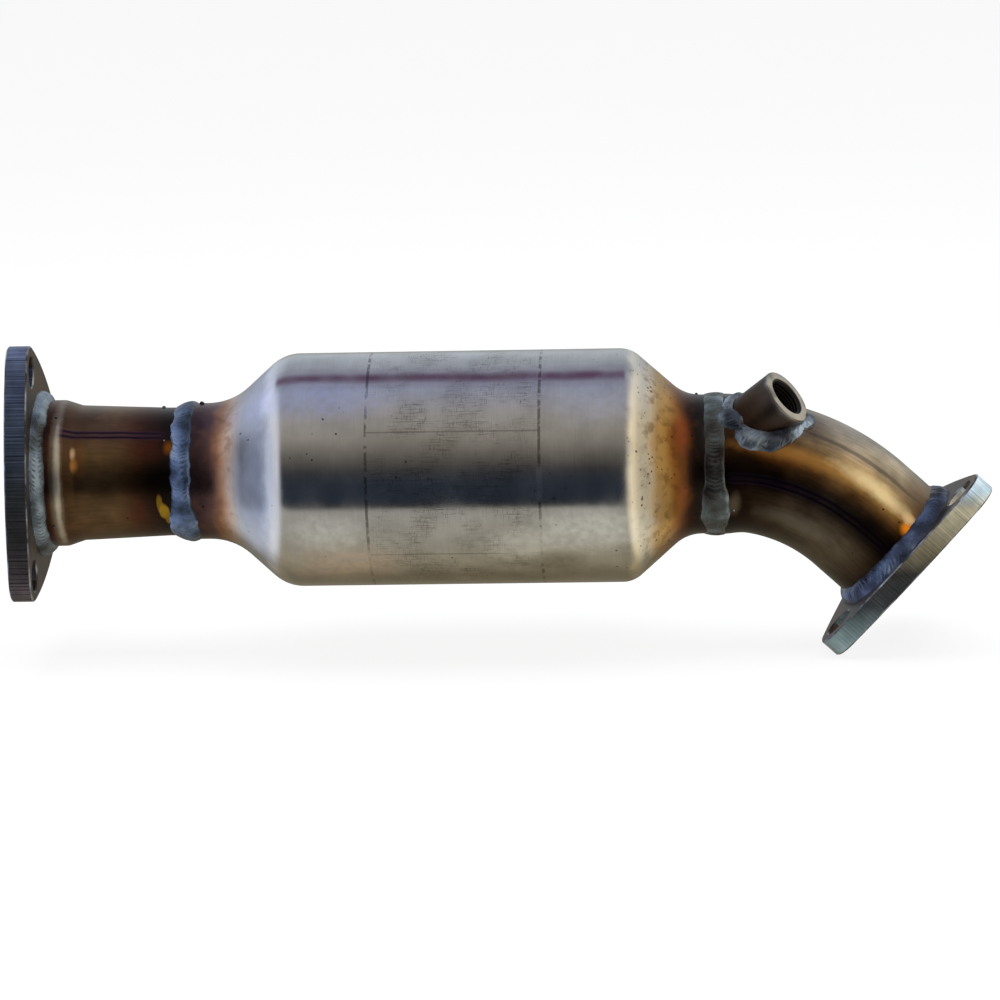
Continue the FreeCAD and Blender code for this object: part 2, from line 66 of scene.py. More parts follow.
SIZES = "converter_sizes"
FINISH = "converter_finish"

# where the boss's line meets the can's axis, how it leans, and how far along it the face is
BOSS_AIM = Vector((306.6, 0, 0)) * MM
BOSS_TURN = (
    Matrix.Rotation(math.radians(26.6), 3, "X") @ Matrix.Rotation(math.radians(46.6), 3, "Y")
)
BOSS_FACE = 54.5 * MM
ELBOW_START = 314 * MM
# how deep a weld's edges lie under the surfaces beside them
BURIED = 0.3 * MM

# in millimetres: from a flange's outer face in to its pipe's end, the can's radius and
# middle, and where its brick starts and ends
SOCKET = 2
CAN_RADIUS = 52
CAN_MIDDLE = 197.5
BRICK_ENDS = (161, 237.2)

# how far a stain's edge strays from its oval, and how much rougher the cones are
RAGGED = 0.9
CONE_DULLNESS = 0.17


# ---- sizes and colours ----------------------------------------------------------------


def length(name, description, millimetres):
    """A length property whose default is given in millimetres."""
    return bpy.props.FloatProperty(
        name=name, description=description, default=millimetres * MM, unit="LENGTH", precision=5
    )


def degrees(name, description, value):
    """An angle property whose default is given in degrees."""
    return bpy.props.FloatProperty(
        name=name, description=description, default=math.radians(value), subtype="ANGLE"
    )


class ConverterSizes(bpy.types.PropertyGroup):
    wall: length("Wall", "Sheet thickness of the can and both pipes", 1.5)
    can_diameter: length("Can diameter", "Outside of the cylindrical can", 105)
    inlet_neck: length("Inlet neck", "Outside of the can's inlet neck", 61.4)
    outlet_neck: length("Outlet neck", "Outside of the can's outlet neck", 62.4)
    swell: length("Pipe swell", "Outside of the inlet pipe's expanded end", 66)
    pipe_end: length("Pipe end", "Outside of the inlet pipe at its butt weld", 57.8)
    elbow_start: length("Elbow start", "Outside of the elbow at the can", 63)
    elbow: length("Elbow", "Outside of the elbow in its bend", 60.4)
    bend_radius: length("Bend radius", "Bend of the elbow's centreline", 90)
    bend_angle: degrees("Bend angle", "Turn of the elbow, downwards", 42.7)
    lead: length("Lead", "Straight stretch before the bend", 3.2)
    tail: length("Tail", "Straight stretch from the bend to the flange", 22.5)
    inlet_plate: length("Inlet plate", "Thickness of the inlet flange", 10)
    outlet_plate: length("Outlet plate", "Thickness of the outlet flange", 9.6)
    lobe: length("Lobe radius", "Rounding of a flange's corners", 11.6)
    bolt_hole: length("Bolt hole", "Diameter of the bolt holes", 14)
    arris: length("Arris", "Bevel along a flange's edges", 0.6)
    boss: length("Boss", "Outside of the sensor boss", 26)
    boss_bore: length("Boss bore", "Bore of the sensor boss", 16.4)
    boss_mouth: length("Boss mouth", "Countersink at the boss's mouth", 19)
    ripple: length("Weld ripple", "Height of the ripples in the weld beads", 0.28)
    ripple_pitch: length("Ripple pitch", "From one ripple of a bead to the next", 1.9)


def colour(name, description, red, green, blue):
    """A colour property, its default in linear light."""
    return bpy.props.FloatVectorProperty(
        name=name, description=description, default=(red, green, blue), subtype="COLOR",
        min=0, max=1,
    )


class ConverterFinish(bpy.types.PropertyGroup):
    floor: colour("Floor", "Colour of the floor and backdrop", 0.93, 0.93, 0.93)
    lamp_power: bpy.props.FloatProperty(
        name="Lamp power", description="Power of the overhead soft light", default=26, unit="POWER"
    )
    room: bpy.props.FloatProperty(
        name="Room light", description="Strength of the even light all round", default=0.62
    )


# ---- mesh helpers ---------------------------------------------------------------------


ROUND_STEPS = 8


def rounded(corners):
    """Points along a line of (along, radius, rounding) corners, in millimetres."""
    points = []
    for number, (along, radius, rounding) in enumerate(corners):
        here = Vector((along, radius))
        if not rounding:
            points.append(here)
            continue
        before = (Vector(corners[number - 1][:2]) - here).normalized()
        after = (Vector(corners[number + 1][:2]) - here).normalized()
        half = before.angle(after) / 2
        centre = here + (before + after).normalized() * (rounding / math.sin(half))
        first = here + before * (rounding / math.tan(half)) - centre
        last = here + after * (rounding / math.tan(half)) - centre
        first.normalize()
        last.normalize()
        for step in range(ROUND_STEPS + 1):
            points.append(centre + first.slerp(last, step / ROUND_STEPS) * rounding)
    return points


def walled(points, wall):
    """Close an outside line with a parallel inside line one wall below it."""
    inside = []
    for number, point in enumerate(points):
        ahead = points[min(number + 1, len(points) - 1)]
        behind = points[max(number - 1, 0)]
        way = (ahead - behind).normalized()
        inside.append(point - Vector((-way.y, way.x)) * wall)
    return points + inside[::-1]


def link_object(name, mesh):
    """Turn a bmesh into an object in the scene."""
    data = bpy.data.meshes.new(name)
    mesh.to_mesh(data)
    mesh.free()
    made = bpy.data.objects.new(name, data)
    bpy.context.scene.collection.objects.link(made)
    return made


def closed_loop(mesh, corners):
    """Edges from each corner to the next and from the last to the first."""
    return [mesh.edges.new((a, b)) for a, b in zip(corners, corners[1:] + corners[:1])]


def spin_round(mesh, corners, axis, steps):
    """Close the corners into an outline and spin it right round an axis."""
    bmesh.ops.spin(
        mesh, geom=corners + closed_loop(mesh, corners), cent=(0, 0, 0), axis=axis,
        dvec=(0, 0, 0), angle=2 * math.pi, steps=steps, use_merge=True, use_duplicate=False,
    )


def spin_outline(outline, steps):
    """Spin a closed outline of (along, radius) in millimetres about the X axis."""
    mesh = bmesh.new()
    corners = [mesh.verts.new((x * MM, 0, radius * MM)) for x, radius in outline]
    spin_round(mesh, corners, (1, 0, 0), steps)
    bmesh.ops.remove_doubles(mesh, verts=mesh.verts, dist=1e-7)
    bmesh.ops.recalc_face_normals(mesh, faces=mesh.faces)
    return mesh


def sweep_rings(stations, segments=120):
    """Run a circle through (placement, radius) stations and join the last to the first."""
    mesh = bmesh.new()
    ring = bmesh.ops.create_circle(mesh, segments=segments, radius=1)["verts"]
    edges = list(mesh.edges)
    first = edges
    placed = Matrix.Identity(4)
    for number, (placement, radius) in enumerate(stations):
        if number:
            grown = bmesh.ops.extrude_edge_only(mesh, edges=edges)["geom"]
            ring = [part for part in grown if isinstance(part, bmesh.types.BMVert)]
            edges = [part for part in grown if isinstance(part, bmesh.types.BMEdge)]
        target = placement @ Matrix.Scale(radius, 4)
        bmesh.ops.transform(mesh, matrix=target @ placed.inverted(), verts=ring)
        placed = target
    bmesh.ops.bridge_loops(mesh, edges=first + edges)
    bmesh.ops.recalc_face_normals(mesh, faces=mesh.faces)
    return mesh


def about_can(point):
    """Distance along the can, then which way out of its axis: to the front, and up."""
    out = math.hypot(point.y, point.z) or 1
    return point.x, -point.y / out, point.z / out


def bend_centre(size):
    """Centre of the elbow's bend, on the can's own plane."""
    return Vector((ELBOW_START + size.lead, 0, -size.bend_radius))


def along_elbow(size, distance):
    """Placement on the elbow's centreline, its Z running with the gas."""
    bend = size.bend_radius * size.bend_angle
    turned = min(max(distance - size.lead, 0), bend) / size.bend_radius
    centre = bend_centre(size)
    place = centre + Vector((math.sin(turned), 0, math.cos(turned))) * size.bend_radius
    way = Vector((math.cos(turned), 0, -math.sin(turned)))
    place += way * (min(distance - size.lead, 0) + max(distance - size.lead - bend, 0))
    return Matrix.Translation(place) @ Matrix.Rotation(math.pi / 2 + turned, 4, "Y")


def about_elbow(size):
    """Like about_can, along the elbow's own centreline."""
    centre = bend_centre(size)

    def locate(point):
        offset = point - centre
        turned = min(max(math.atan2(offset.x, offset.z), 0), size.bend_angle)
        up = Vector((math.sin(turned), 0, math.cos(turned)))
        way = Vector((math.cos(turned), 0, -math.sin(turned)))
        rise = offset.dot(up) - size.bend_radius
        run = size.lead + size.bend_radius * turned + offset.dot(way)
        out = math.hypot(rise, point.y) or 1
        return run, -point.y / out, rise / out

    return locate


def finish_piece(piece, finishes, nodes, slot, locate=about_can, smooth=math.radians(35)):
    """Give a piece its path attribute and finishes, and set it on the part."""
    data = piece.data
    path = data.attributes.new("Path", "FLOAT_VECTOR", "POINT")
    for vertex, value in zip(data.vertices, path.data):
        value.vector = locate(vertex.co)
    for finish in finishes:
        data.materials.append(finish)
    data.shade_smooth()
    data.set_sharp_from_angle(angle=smooth)
    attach(piece, "root")
    if nodes:
        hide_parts(*nodes)


def hand_over(mesh, name, *looks, **more):
    """Turn a bmesh into a finished piece that rides on the part."""
    finish_piece(link_object(name, mesh), *looks, **more)


def wander(seed, angle, swirl=1.0):
    """A smooth value from -1 to 1 that changes round a ring and closes on itself."""
    return noise.noise(Vector((math.cos(angle) * swirl, math.sin(angle) * swirl, seed)))


# ---- finishes -------------------------------------------------------------------------


def linear(code):
    """An sRGB hex value as linear red, green, blue and a full alpha."""
    channels = [int(code[start:start + 2], 16) / 255 for start in (1, 3, 5)]
    made = [c / 12.92 if c <= 0.04045 else ((c + 0.055) / 1.055) ** 2.4 for c in channels]
    return (*made, 1)


def fill(node, inputs):
    """Give a node's inputs their values, or link them to other nodes' outputs."""
    for key, value in inputs.items():
        if isinstance(value, bpy.types.NodeSocket):
            node.id_data.links.new(value, node.inputs[key])
        else:
            node.inputs[key].default_value = value


def add(tree, kind, inputs=None, out=0, stops=None, **fields):
    """Add a node, set its fields, inputs and colour stops, and return one of its outputs."""
    made = tree.nodes.new("ShaderNode" + kind)
    for field, value in fields.items():
        setattr(made, field, value)
    fill(made, inputs or {})
    if stops:
        elements = made.color_ramp.elements
        while len(elements) < len(stops):
            elements.new(0.5)
        for element, (place, code) in zip(elements, stops):
            element.position = place
            element.color = linear(code)
    return made.outputs[out]


def new_finish(name):
    """A new node material: the material, its tree, and the surface's shader."""
    material = bpy.data.materials.new(name)
    material.use_nodes = True
    tree = material.node_tree
    return material, tree, tree.nodes["Principled BSDF"]


def surface_path(tree):
    """Outputs for the distance along a piece and the angle round it, 0 front and up positive."""
    path = add(tree, "Attribute", out="Vector", attribute_name="Path")
    parts = add(tree, "SeparateXYZ", {0: path}).node
    around = add(tree, "Math", {0: parts.outputs[2], 1: parts.outputs[1]}, operation="ARCTAN2")
    return parts.outputs[0], around


def shaded(tree, colour, pattern, low, high, dark, light):
    """Multiply a colour by dark where a pattern is low, up to light where it is high."""
    shade = add(tree, "MapRange", {0: pattern, 1: low, 2: high, 3: dark, 4: light})
    return add(
        tree, "Mix", {"Factor": 1.0, 6: colour, 7: shade}, out=2, data_type="RGBA",
        blend_type="MULTIPLY",
    )


def lay_over(material, code, *masks):
    """Mix a colour over a finish's own, as strongly as its masks multiplied."""
    tree = material.node_tree
    shader = tree.nodes["Principled BSDF"]
    share = masks[0]
    for mask in masks[1:]:
        share = add(tree, "Math", {0: share, 1: mask}, operation="MULTIPLY")
    below = shader.inputs["Base Color"].links[0].from_socket
    mixed = add(tree, "Mix", {"Factor": share, 6: below, 7: linear(code)}, out=2, data_type="RGBA")
    fill(shader, {"Base Color": mixed})


def stripe(material, value, centre, half_width, soft, strength=1.0):
    """A mask that is strength within half_width of the centre and fades out over soft."""
    tree = material.node_tree
    away = add(tree, "Math", {0: value, 1: centre}, operation="SUBTRACT")
    away = add(tree, "Math", {0: away}, operation="ABSOLUTE")
    return add(
        tree, "MapRange", {0: away, 1: half_width, 2: half_width + soft, 3: strength, 4: 0.0}
    )


def stain(material, marks, *masks):
    """Lay ragged oval marks over a finish.

    A mark is (run and angle of its middle, half its length, half its angle, softness of its
    edge, strength, colour), in millimetres and degrees.
    """
    tree = material.node_tree
    run, around = surface_path(tree)
    solid = add(tree, "TexCoord", out="Object")
    rag = add(tree, "TexNoise", {"Vector": solid, "Scale": 1 / (5 * MM), "Detail": 3.0})
    for run_at, around_at, half_run, half_around, soft, strength, code in marks:
        x = add(tree, "Math", {0: run, 1: run_at * MM}, operation="SUBTRACT")
        x = add(tree, "Math", {0: x, 1: half_run * MM}, operation="DIVIDE")
        y = add(tree, "Math", {0: around, 1: math.radians(around_at)}, operation="SUBTRACT")
        y = add(tree, "Math", {0: y, 1: math.radians(half_around)}, operation="DIVIDE")
        flat = add(tree, "CombineXYZ", {0: x, 1: y})
        away = add(tree, "VectorMath", {0: flat}, out="Value", operation="LENGTH")
        away = add(tree, "Math", {0: rag, 1: RAGGED, 2: away}, operation="MULTIPLY_ADD")
        # the noise is about a half, so this puts the oval's edge at its own size
        edge = 1 + RAGGED / 2
        mark = add(
            tree, "MapRange",
            {0: away, 1: edge - soft / 2, 2: edge + soft / 2, 3: strength, 4: 0.0},
        )
        lay_over(material, code, mark, *masks)


def brushed_metal(name, along, painted_light_by_height, specks, brushing, roughness, blotchy=0.12):
    """A worked metal: its heat tint's stops along it times stops of painted light and shade round
    it.

    along is (start, end, stops) in millimetres. The stops round it are painted light and shade,
    from underneath (0) through level (0.5) to the top (1). brushing is (pitch along, pitch
    round, how strongly it shows), the pitches in millimetres on the can.
    """
    material, tree, shader = new_finish(name)
    run, around = surface_path(tree)
    start, end, stops = along
    solid = add(tree, "TexCoord", out="Object")
    cloud = add(tree, "TexNoise", {"Vector": solid, "Scale": 1 / (14 * MM), "Detail": 4.0})
    # the tint's edges wander by a few millimetres, as flame-blued steel does
    drift = add(tree, "Math", {0: cloud, 1: 0.5}, operation="SUBTRACT")
    drift = add(tree, "Math", {0: drift, 1: 7 * MM, 2: run}, operation="MULTIPLY_ADD")
    place = add(tree, "MapRange", {0: drift, 1: start * MM, 2: end * MM})
    tint = add(tree, "ValToRGB", {0: place}, stops=stops)
    # painted light and shade by height: the back is coloured like the front, only how high a place
    # lies counts
    rise = add(tree, "Math", {0: around}, operation="SINE")
    rise = add(tree, "Math", {0: rise}, operation="ARCSINE")
    height = add(tree, "MapRange", {0: rise, 1: -math.pi / 2, 2: math.pi / 2})
    painted_height_light = add(tree, "ValToRGB", {0: height}, stops=painted_light_by_height)
    base = add(
        tree, "Mix", {"Factor": 1.0, 6: tint, 7: painted_height_light}, out=2, data_type="RGBA",
        blend_type="MULTIPLY",
    )
    # fine lines left by the abrasive: long round the piece, short along it
    pitch_along, pitch_round, shown = brushing
    across = add(tree, "Math", {0: run, 1: 1 / (pitch_along * MM)}, operation="MULTIPLY")
    turn = add(tree, "Math", {0: around, 1: CAN_RADIUS / pitch_round}, operation="MULTIPLY")
    lines = add(tree, "CombineXYZ", {0: across, 1: turn})
    grain = add(tree, "TexNoise", {"Vector": lines, "Scale": 1.0, "Detail": 3.0})
    base = shaded(tree, base, grain, 0.25, 0.75, 1 - 0.2 * shown, 1 + 0.14 * shown)
    base = shaded(tree, base, cloud, 0.32, 0.68, 1 - blotchy, 1 + blotchy)
    rough = add(
        tree, "MapRange", {0: cloud, 1: 0.3, 2: 0.7, 3: roughness - 0.04, 4: roughness + 0.06}
    )
    bump = add(tree, "Bump", {"Strength": 0.2 * shown, "Distance": 0.05 * MM, "Height": grain})
    fill(shader, {"Base Color": base, "Roughness": rough, "Normal": bump, "Metallic": 1.0})
    # weld spatter and handling pits: dark dots about a millimetre across, in loose groups
    dots = add(tree, "TexVoronoi", {"Vector": solid, "Scale": 1 / (5 * MM)})
    crowd = add(tree, "TexNoise", {"Vector": solid, "Scale": 1 / (22 * MM), "Detail": 1.0})
    reach = add(tree, "MapRange", {0: crowd, 1: 0.48, 2: 0.7, 4: 0.1 * specks})
    lay_over(material, "#2a211c", add(tree, "Math", {0: dots, 1: reach}, operation="LESS_THAN"))
    return material


def seam_line(material, around_at, radius, run_from, run_to):
    """A rolled tube's long seam: a thin violet weld line between two dark edges."""
    tree = material.node_tree
    run, around = surface_path(tree)
    solid = add(tree, "TexCoord", out="Object")
    shake = add(tree, "TexNoise", {"Vector": solid, "Scale": 1 / (9 * MM)})
    # the seam wavers by a few tenths of a millimetre
    waver = add(tree, "Math", {0: shake, 1: 0.03, 2: around}, operation="MULTIPLY_ADD")
    middle = math.radians(around_at) + 0.015
    welded = stripe(
        material, run, (run_from + run_to) / 2 * MM, (run_to - run_from) / 2 * MM, 4 * MM
    )
    for offset, half, code, strength in (
        (0.0, 2.2, "#4a3550", 0.45), (-1.25, 0.32, "#1d1520", 0.85), (1.25, 0.32, "#241a26", 0.85)
    ):
        line = stripe(
            material, waver, middle + offset / radius, half / radius, 0.5 / radius, strength
        )
        lay_over(material, code, line, welded)


def spun_stainless():
    """409 stainless sheet, spun and brushed: silver in the middle, straw to brown at the necks,
    with painted highlights on both shoulders, painted shade underneath and a pale bluish painted
    top.
    """
    # the near-white stops at 0.174 and 0.852 are painted highlights on the shoulders
    along = (77, 313, [
        (0.0, "#4a3d40"), (0.03, "#4f3c40"), (0.055, "#6f5556"), (0.075, "#b98a6c"),
        (0.092, "#d6bfae"), (0.115, "#c3c6ce"), (0.152, "#c8cddc"), (0.174, "#f8faff"),
        (0.2, "#d2d2d2"), (0.5, "#d0cfcd"), (0.838, "#d0cfcb"), (0.852, "#fff6e2"),
        (0.87, "#d6d3cb"), (0.884, "#d8ccb6"), (0.898, "#c0a070"), (0.912, "#c29a5c"),
        (0.927, "#9c6a34"), (0.941, "#744a2a"), (0.957, "#442c22"), (0.974, "#2e2825"),
        (1.0, "#403b38"),
    ])
    # painted light by height: darker underneath, pale and bluish on top
    painted_light_by_height = [
        (0.0, "#b9b09a"), (0.12, "#d2cbba"), (0.3, "#f4f1e8"), (0.5, "#f2f0ee"),
        (0.7, "#f3efe9"), (0.8, "#e6e8f4"), (0.9, "#eeeef4"), (1.0, "#f6f8fc"),
    ]
    material = brushed_metal("SpunStainless", along, painted_light_by_height, 1.2, (0.7, 20, 0.3), 0.15)
    tree = material.node_tree
    run, around = surface_path(tree)
    solid = add(tree, "TexCoord", out="Object")
    # the spinning roller left the cones duller than the can between them
    shader = tree.nodes["Principled BSDF"]
    sheen = shader.inputs["Roughness"].links[0].from_socket
    bright = stripe(material, run, CAN_MIDDLE * MM, 74 * MM, 5 * MM, -CONE_DULLNESS)
    dull = add(tree, "Math", {0: bright, 1: CONE_DULLNESS}, operation="ADD")
    fill(shader, {"Roughness": add(tree, "Math", {0: dull, 1: sheen}, operation="ADD")})
    # weld spatter and scorch marks freckle the cones, the outlet's most
    speck = add(tree, "TexVoronoi", {"Vector": solid, "Scale": 1 / (2.6 * MM)})
    group = add(tree, "TexNoise", {"Vector": solid, "Scale": 1 / (9 * MM), "Detail": 3.0})
    group = add(tree, "MapRange", {0: group, 1: 0.42, 2: 0.68, 4: 0.27})
    speck = add(tree, "Math", {0: speck, 1: group}, operation="LESS_THAN")
    lay_over(material, "#3a281c", speck, stripe(material, run, 287 * MM, 9 * MM, 4 * MM, 0.8))
    scorch = add(tree, "TexNoise", {"Vector": solid, "Scale": 1 / (5 * MM), "Detail": 5.0})
    scorch = add(tree, "MapRange", {0: scorch, 1: 0.5, 2: 0.66, 4: 0.5})
    lay_over(material, "#63401f", scorch, stripe(material, run, 294 * MM, 10 * MM, 5 * MM))
    lay_over(material, "#7a5444", scorch, stripe(material, run, 92 * MM, 7 * MM, 6 * MM, 0.8))
    # a thin plum line along the can, with a paler grey edge
    shake = add(tree, "TexNoise", {"Vector": solid, "Scale": 1 / (25 * MM)})
    waver = add(tree, "Math", {0: shake, 1: 0.05, 2: around}, operation="MULTIPLY_ADD")
    straight = stripe(material, run, CAN_MIDDLE * MM, 76.5 * MM, 1.5 * MM)
    patchy = add(tree, "TexNoise", {"Vector": solid, "Scale": 1 / (12 * MM), "Detail": 3.0})
    patchy = add(tree, "MapRange", {0: patchy, 1: 0.35, 2: 0.6, 3: 0.7})
    for half, soft, strength, code in (
        (0.04, 0.12, 0.6, "#8a7a92"), (0.015, 0.06, 0.75, "#642f52")
    ):
        plum = stripe(material, waver, math.radians(62.5), half, soft, strength)
        lay_over(material, code, plum, straight, patchy)
    # the ends of the brick and mat show as rings where the can was squeezed onto them
    broken = add(tree, "TexNoise", {"Vector": solid, "Scale": 1 / (3.5 * MM)})
    dash = add(tree, "MapRange", {0: broken, 1: 0.42, 2: 0.52})
    for place in BRICK_ENDS:
        ring = stripe(material, run, place * MM, 0.42 * MM, 0.4 * MM, 0.65)
        lay_over(material, "#37332f", ring, dash)
    # a short painted highlight on the outlet-end ring, at the front
    ring = stripe(material, run, BRICK_ENDS[1] * MM, 0.9 * MM, 0.5 * MM, 0.9)
    lay_over(material, "#e6e3dc", ring, stripe(material, around, math.radians(3), 0.12, 0.04))
    # the squeezing jaws met in thin lines between the rings
    between = stripe(material, run, 199 * MM, 37.5 * MM, 1 * MM)
    for angle in (29, -35, 92, 151, -100, -155):
        jaw = stripe(material, around, math.radians(angle), 0.003, 0.006, 0.45)
        lay_over(material, "#4a4541", jaw, between)
    # and they scuffed the sheet: short crossed scratches in loose patches
    blotch = add(tree, "TexNoise", {"Vector": solid, "Scale": 1 / (13 * MM), "Detail": 4.0})
    blotch = add(tree, "MapRange", {0: blotch, 1: 0.42, 2: 0.6, 4: 0.75})
    middle = stripe(material, run, 201 * MM, 28 * MM, 16 * MM)
    for long_way, across_way in ((5, 0.3), (0.35, 3.5), (14, 0.5)):
        along_step = add(tree, "Math", {0: run, 1: 1 / (long_way * MM)}, operation="MULTIPLY")
        round_step = add(
            tree, "Math", {0: around, 1: CAN_RADIUS / across_way}, operation="MULTIPLY"
        )
        cell = add(tree, "CombineXYZ", {0: along_step, 1: round_step})
        nick = add(
            tree, "TexNoise", {"Vector": cell, "Scale": 1.0, "Detail": 3.0, "Distortion": 0.6}
        )
        nick = add(tree, "MapRange", {0: nick, 1: 0.54, 2: 0.68})
        lay_over(material, "#6d675f", nick, blotch, middle)
    # painted reflections: near-white ovals low on the front, the brightest towards the far end,
    # and bluish ones higher up; greyer ovals darken it in places, and two rust-brown ones at the
    # outlet shoulder are heat tint
    cloudy = add(tree, "MapRange", {0: broken, 1: 0.3, 2: 0.65, 3: 0.5})
    stain(material, (
        (258, -22, 20, 11, 1, 0.9, "#fbfaf4"), (230, -30, 14, 9, 1, 0.75, "#f4f3ec"),
        (150, -42, 20, 12, 1, 0.7, "#f0dccc"), (143, -22, 14, 8, 1, 0.75, "#f6f6f2"),
        (244, -42, 10, 7, 1, 0.8, "#958f7e"), (205, -60, 60, 10, 1, 0.5, "#8f8768"),
        (185, 20, 46, 9, 1, 0.35, "#a09a90"), (142, 46, 24, 9, 1, 0.55, "#c6cdf0"),
        (262, 42, 16, 10, 1, 0.4, "#d8dcee"), (299, 36, 4, 16, 1, 0.6, "#94482a"),
        (300, -14, 3, 10, 1, 0.5, "#8c5230"),
    ), cloudy)
    return material


def inlet_tube_steel():
    """Stainless tube, drawn and swelled: bronze heat tint between two welds, a painted highlight
    on the swell's corner, and painted light and shade by height round it.
    """
    # the paler stop at 0.265 is a painted highlight on the swell's corner
    along = (2, 76, [
        (0.0, "#5b4a40"), (0.17, "#4c362c"), (0.235, "#6a4c3c"), (0.265, "#8d8070"),
        (0.3, "#6c543f"), (0.45, "#7d684f"), (0.6, "#806a50"), (0.72, "#6a4d3c"),
        (0.8, "#4e3a30"), (0.9, "#332a27"), (1.0, "#37312f"),
    ])
    # painted light by height: darker underneath, in paler bands above, white at the top
    painted_light_by_height = [
        (0.0, "#907a6a"), (0.2, "#e8dccc"), (0.36, "#ece0d0"), (0.5, "#d2c4b4"),
        (0.64, "#f4e8d4"), (0.74, "#d4c2c0"), (0.84, "#cabcc8"), (0.93, "#f2eef2"),
        (1.0, "#ffffff"),
    ]
    material = brushed_metal("BronzedTube", along, painted_light_by_height, 0.9, (9, 2.2, 0.9), 0.33, 0.28)
    seam_line(material, 45, 31, 23, 66)
    # burnt places, small painted glints and a painted highlight along the swell's corner, then a
    # dab of yellow marking paint beside the weld
    stain(material, (
        (69, 0, 9, 24, 1.3, 0.75, "#221b18"), (28.4, 27, 1.0, 4, 1.2, 0.95, "#ffd8a4"),
        (29, 17, 1.3, 4.5, 1.2, 0.95, "#ffb060"), (31, 22, 3, 14, 1.2, 0.35, "#a0683a"),
        (20.8, -4, 2.2, 60, 1.3, 0.6, "#b8aa98"), (21.4, 8, 1.1, 30, 1.4, 0.95, "#fff4dc"),
        (21.6, -44, 1.2, 14, 1.2, 0.7, "#d8d0c4"), (15, -30, 3, 40, 1.0, 0.5, "#3a241c"),
        (57, -28, 3, 12, 1.2, 0.4, "#5c2a24"), (66.4, -18, 1.3, 8, 0.4, 0.9, "#9a7828"),
        (68.2, -27, 2.1, 8, 0.4, 0.9, "#c09a30"), (70.3, -35, 1.8, 7, 0.4, 0.9, "#a8832e"),
        (71, 33, 2.0, 5, 1.2, 0.85, "#a05a1c"), (62, 30, 6, 10, 1.2, 0.4, "#5e2b20"),
    ))
    return material


def elbow_steel():
    """Mandrel-bent stainless tube: straw and bronze heat tint along it, with a painted gold
    highlight, a pale painted top and painted shade underneath.
    """
    along = (0, 98, [
        (0.0, "#3a3330"), (0.05, "#483b34"), (0.14, "#5e4a3e"), (0.3, "#8a7865"),
        (0.5, "#b9ac9a"), (0.72, "#c2b49c"), (0.84, "#8a765e"), (0.92, "#4f423e"),
        (1.0, "#4c4a54"),
    ])
    # painted light by height: dull underneath, a gold painted highlight above level, pale at the
    # top
    painted_light_by_height = [
        (0.0, "#6e6a64"), (0.22, "#86827a"), (0.38, "#847c74"), (0.47, "#6c605a"),
        (0.54, "#7a685c"), (0.6, "#bc9466"), (0.66, "#f6cf8a"), (0.73, "#f8e4c4"),
        (0.79, "#dcd8d6"), (0.88, "#f0f2f8"), (1.0, "#ffffff"),
    ]
    material = brushed_metal("BentStainless", along, painted_light_by_height, 1.0, (9, 2.2, 1.2), 0.31, 0.32)
    seam_line(material, 0, 30, 8, 82)
    # the bright orange, cream and straw ovals are painted highlights; the dark, brown and grey
    # ones are laid over the tint in patches
    stain(material, (
        (26, 23, 13, 6, 1.0, 0.5, "#9a5f28"), (86, 24, 2.6, 4.5, 1.1, 1.0, "#ff9424"),
        (84, 33, 3, 4, 1.1, 0.8, "#f0c490"), (74, 5, 16, 13, 1.2, 0.7, "#231a16"),
        (12, 12, 7, 12, 1.0, 0.7, "#241b18"), (9, -24, 2.5, 9, 1.3, 0.5, "#8a7860"),
        (20, 36, 14, 8, 1.0, 0.6, "#3a2820"), (34, 28, 20, 6, 1.2, 0.35, "#ffb860"),
        (60, 52, 26, 2.2, 0.8, 0.6, "#4c4440"), (66, 34, 15, 6, 1.2, 0.75, "#ffe8b8"),
        (80, 60, 9, 20, 1.3, 0.4, "#6a5a50"), (45, -30, 18, 8, 1.2, 0.35, "#8f8878"),
    ))
    return material


def weld_bead(name, cool, warm, dark):
    """MIG weld metal, as laid: oxide blues and greys over fine ripples, not cleaned."""
    material, tree, shader = new_finish(name)
    solid = add(tree, "TexCoord", out="Object")
    wide = add(tree, "TexNoise", {"Vector": solid, "Scale": 1 / (15 * MM), "Detail": 2.0})
    fine = add(tree, "TexNoise", {"Vector": solid, "Scale": 1 / (1.6 * MM), "Detail": 4.0})
    stops = [(0.34, dark), (0.46, warm), (0.58, cool), (0.78, "#a3aebd")]
    base = add(tree, "ValToRGB", {0: wide}, stops=stops)
    base = shaded(tree, base, fine, 0.3, 0.7, 0.8, 1.1)
    rough = add(tree, "MapRange", {0: fine, 1: 0.3, 2: 0.7, 3: 0.22, 4: 0.38})
    bump = add(tree, "Bump", {"Strength": 0.35, "Distance": 0.2 * MM, "Height": fine})
    fill(shader, {"Base Color": base, "Roughness": rough, "Normal": bump, "Metallic": 0.85})
    return material


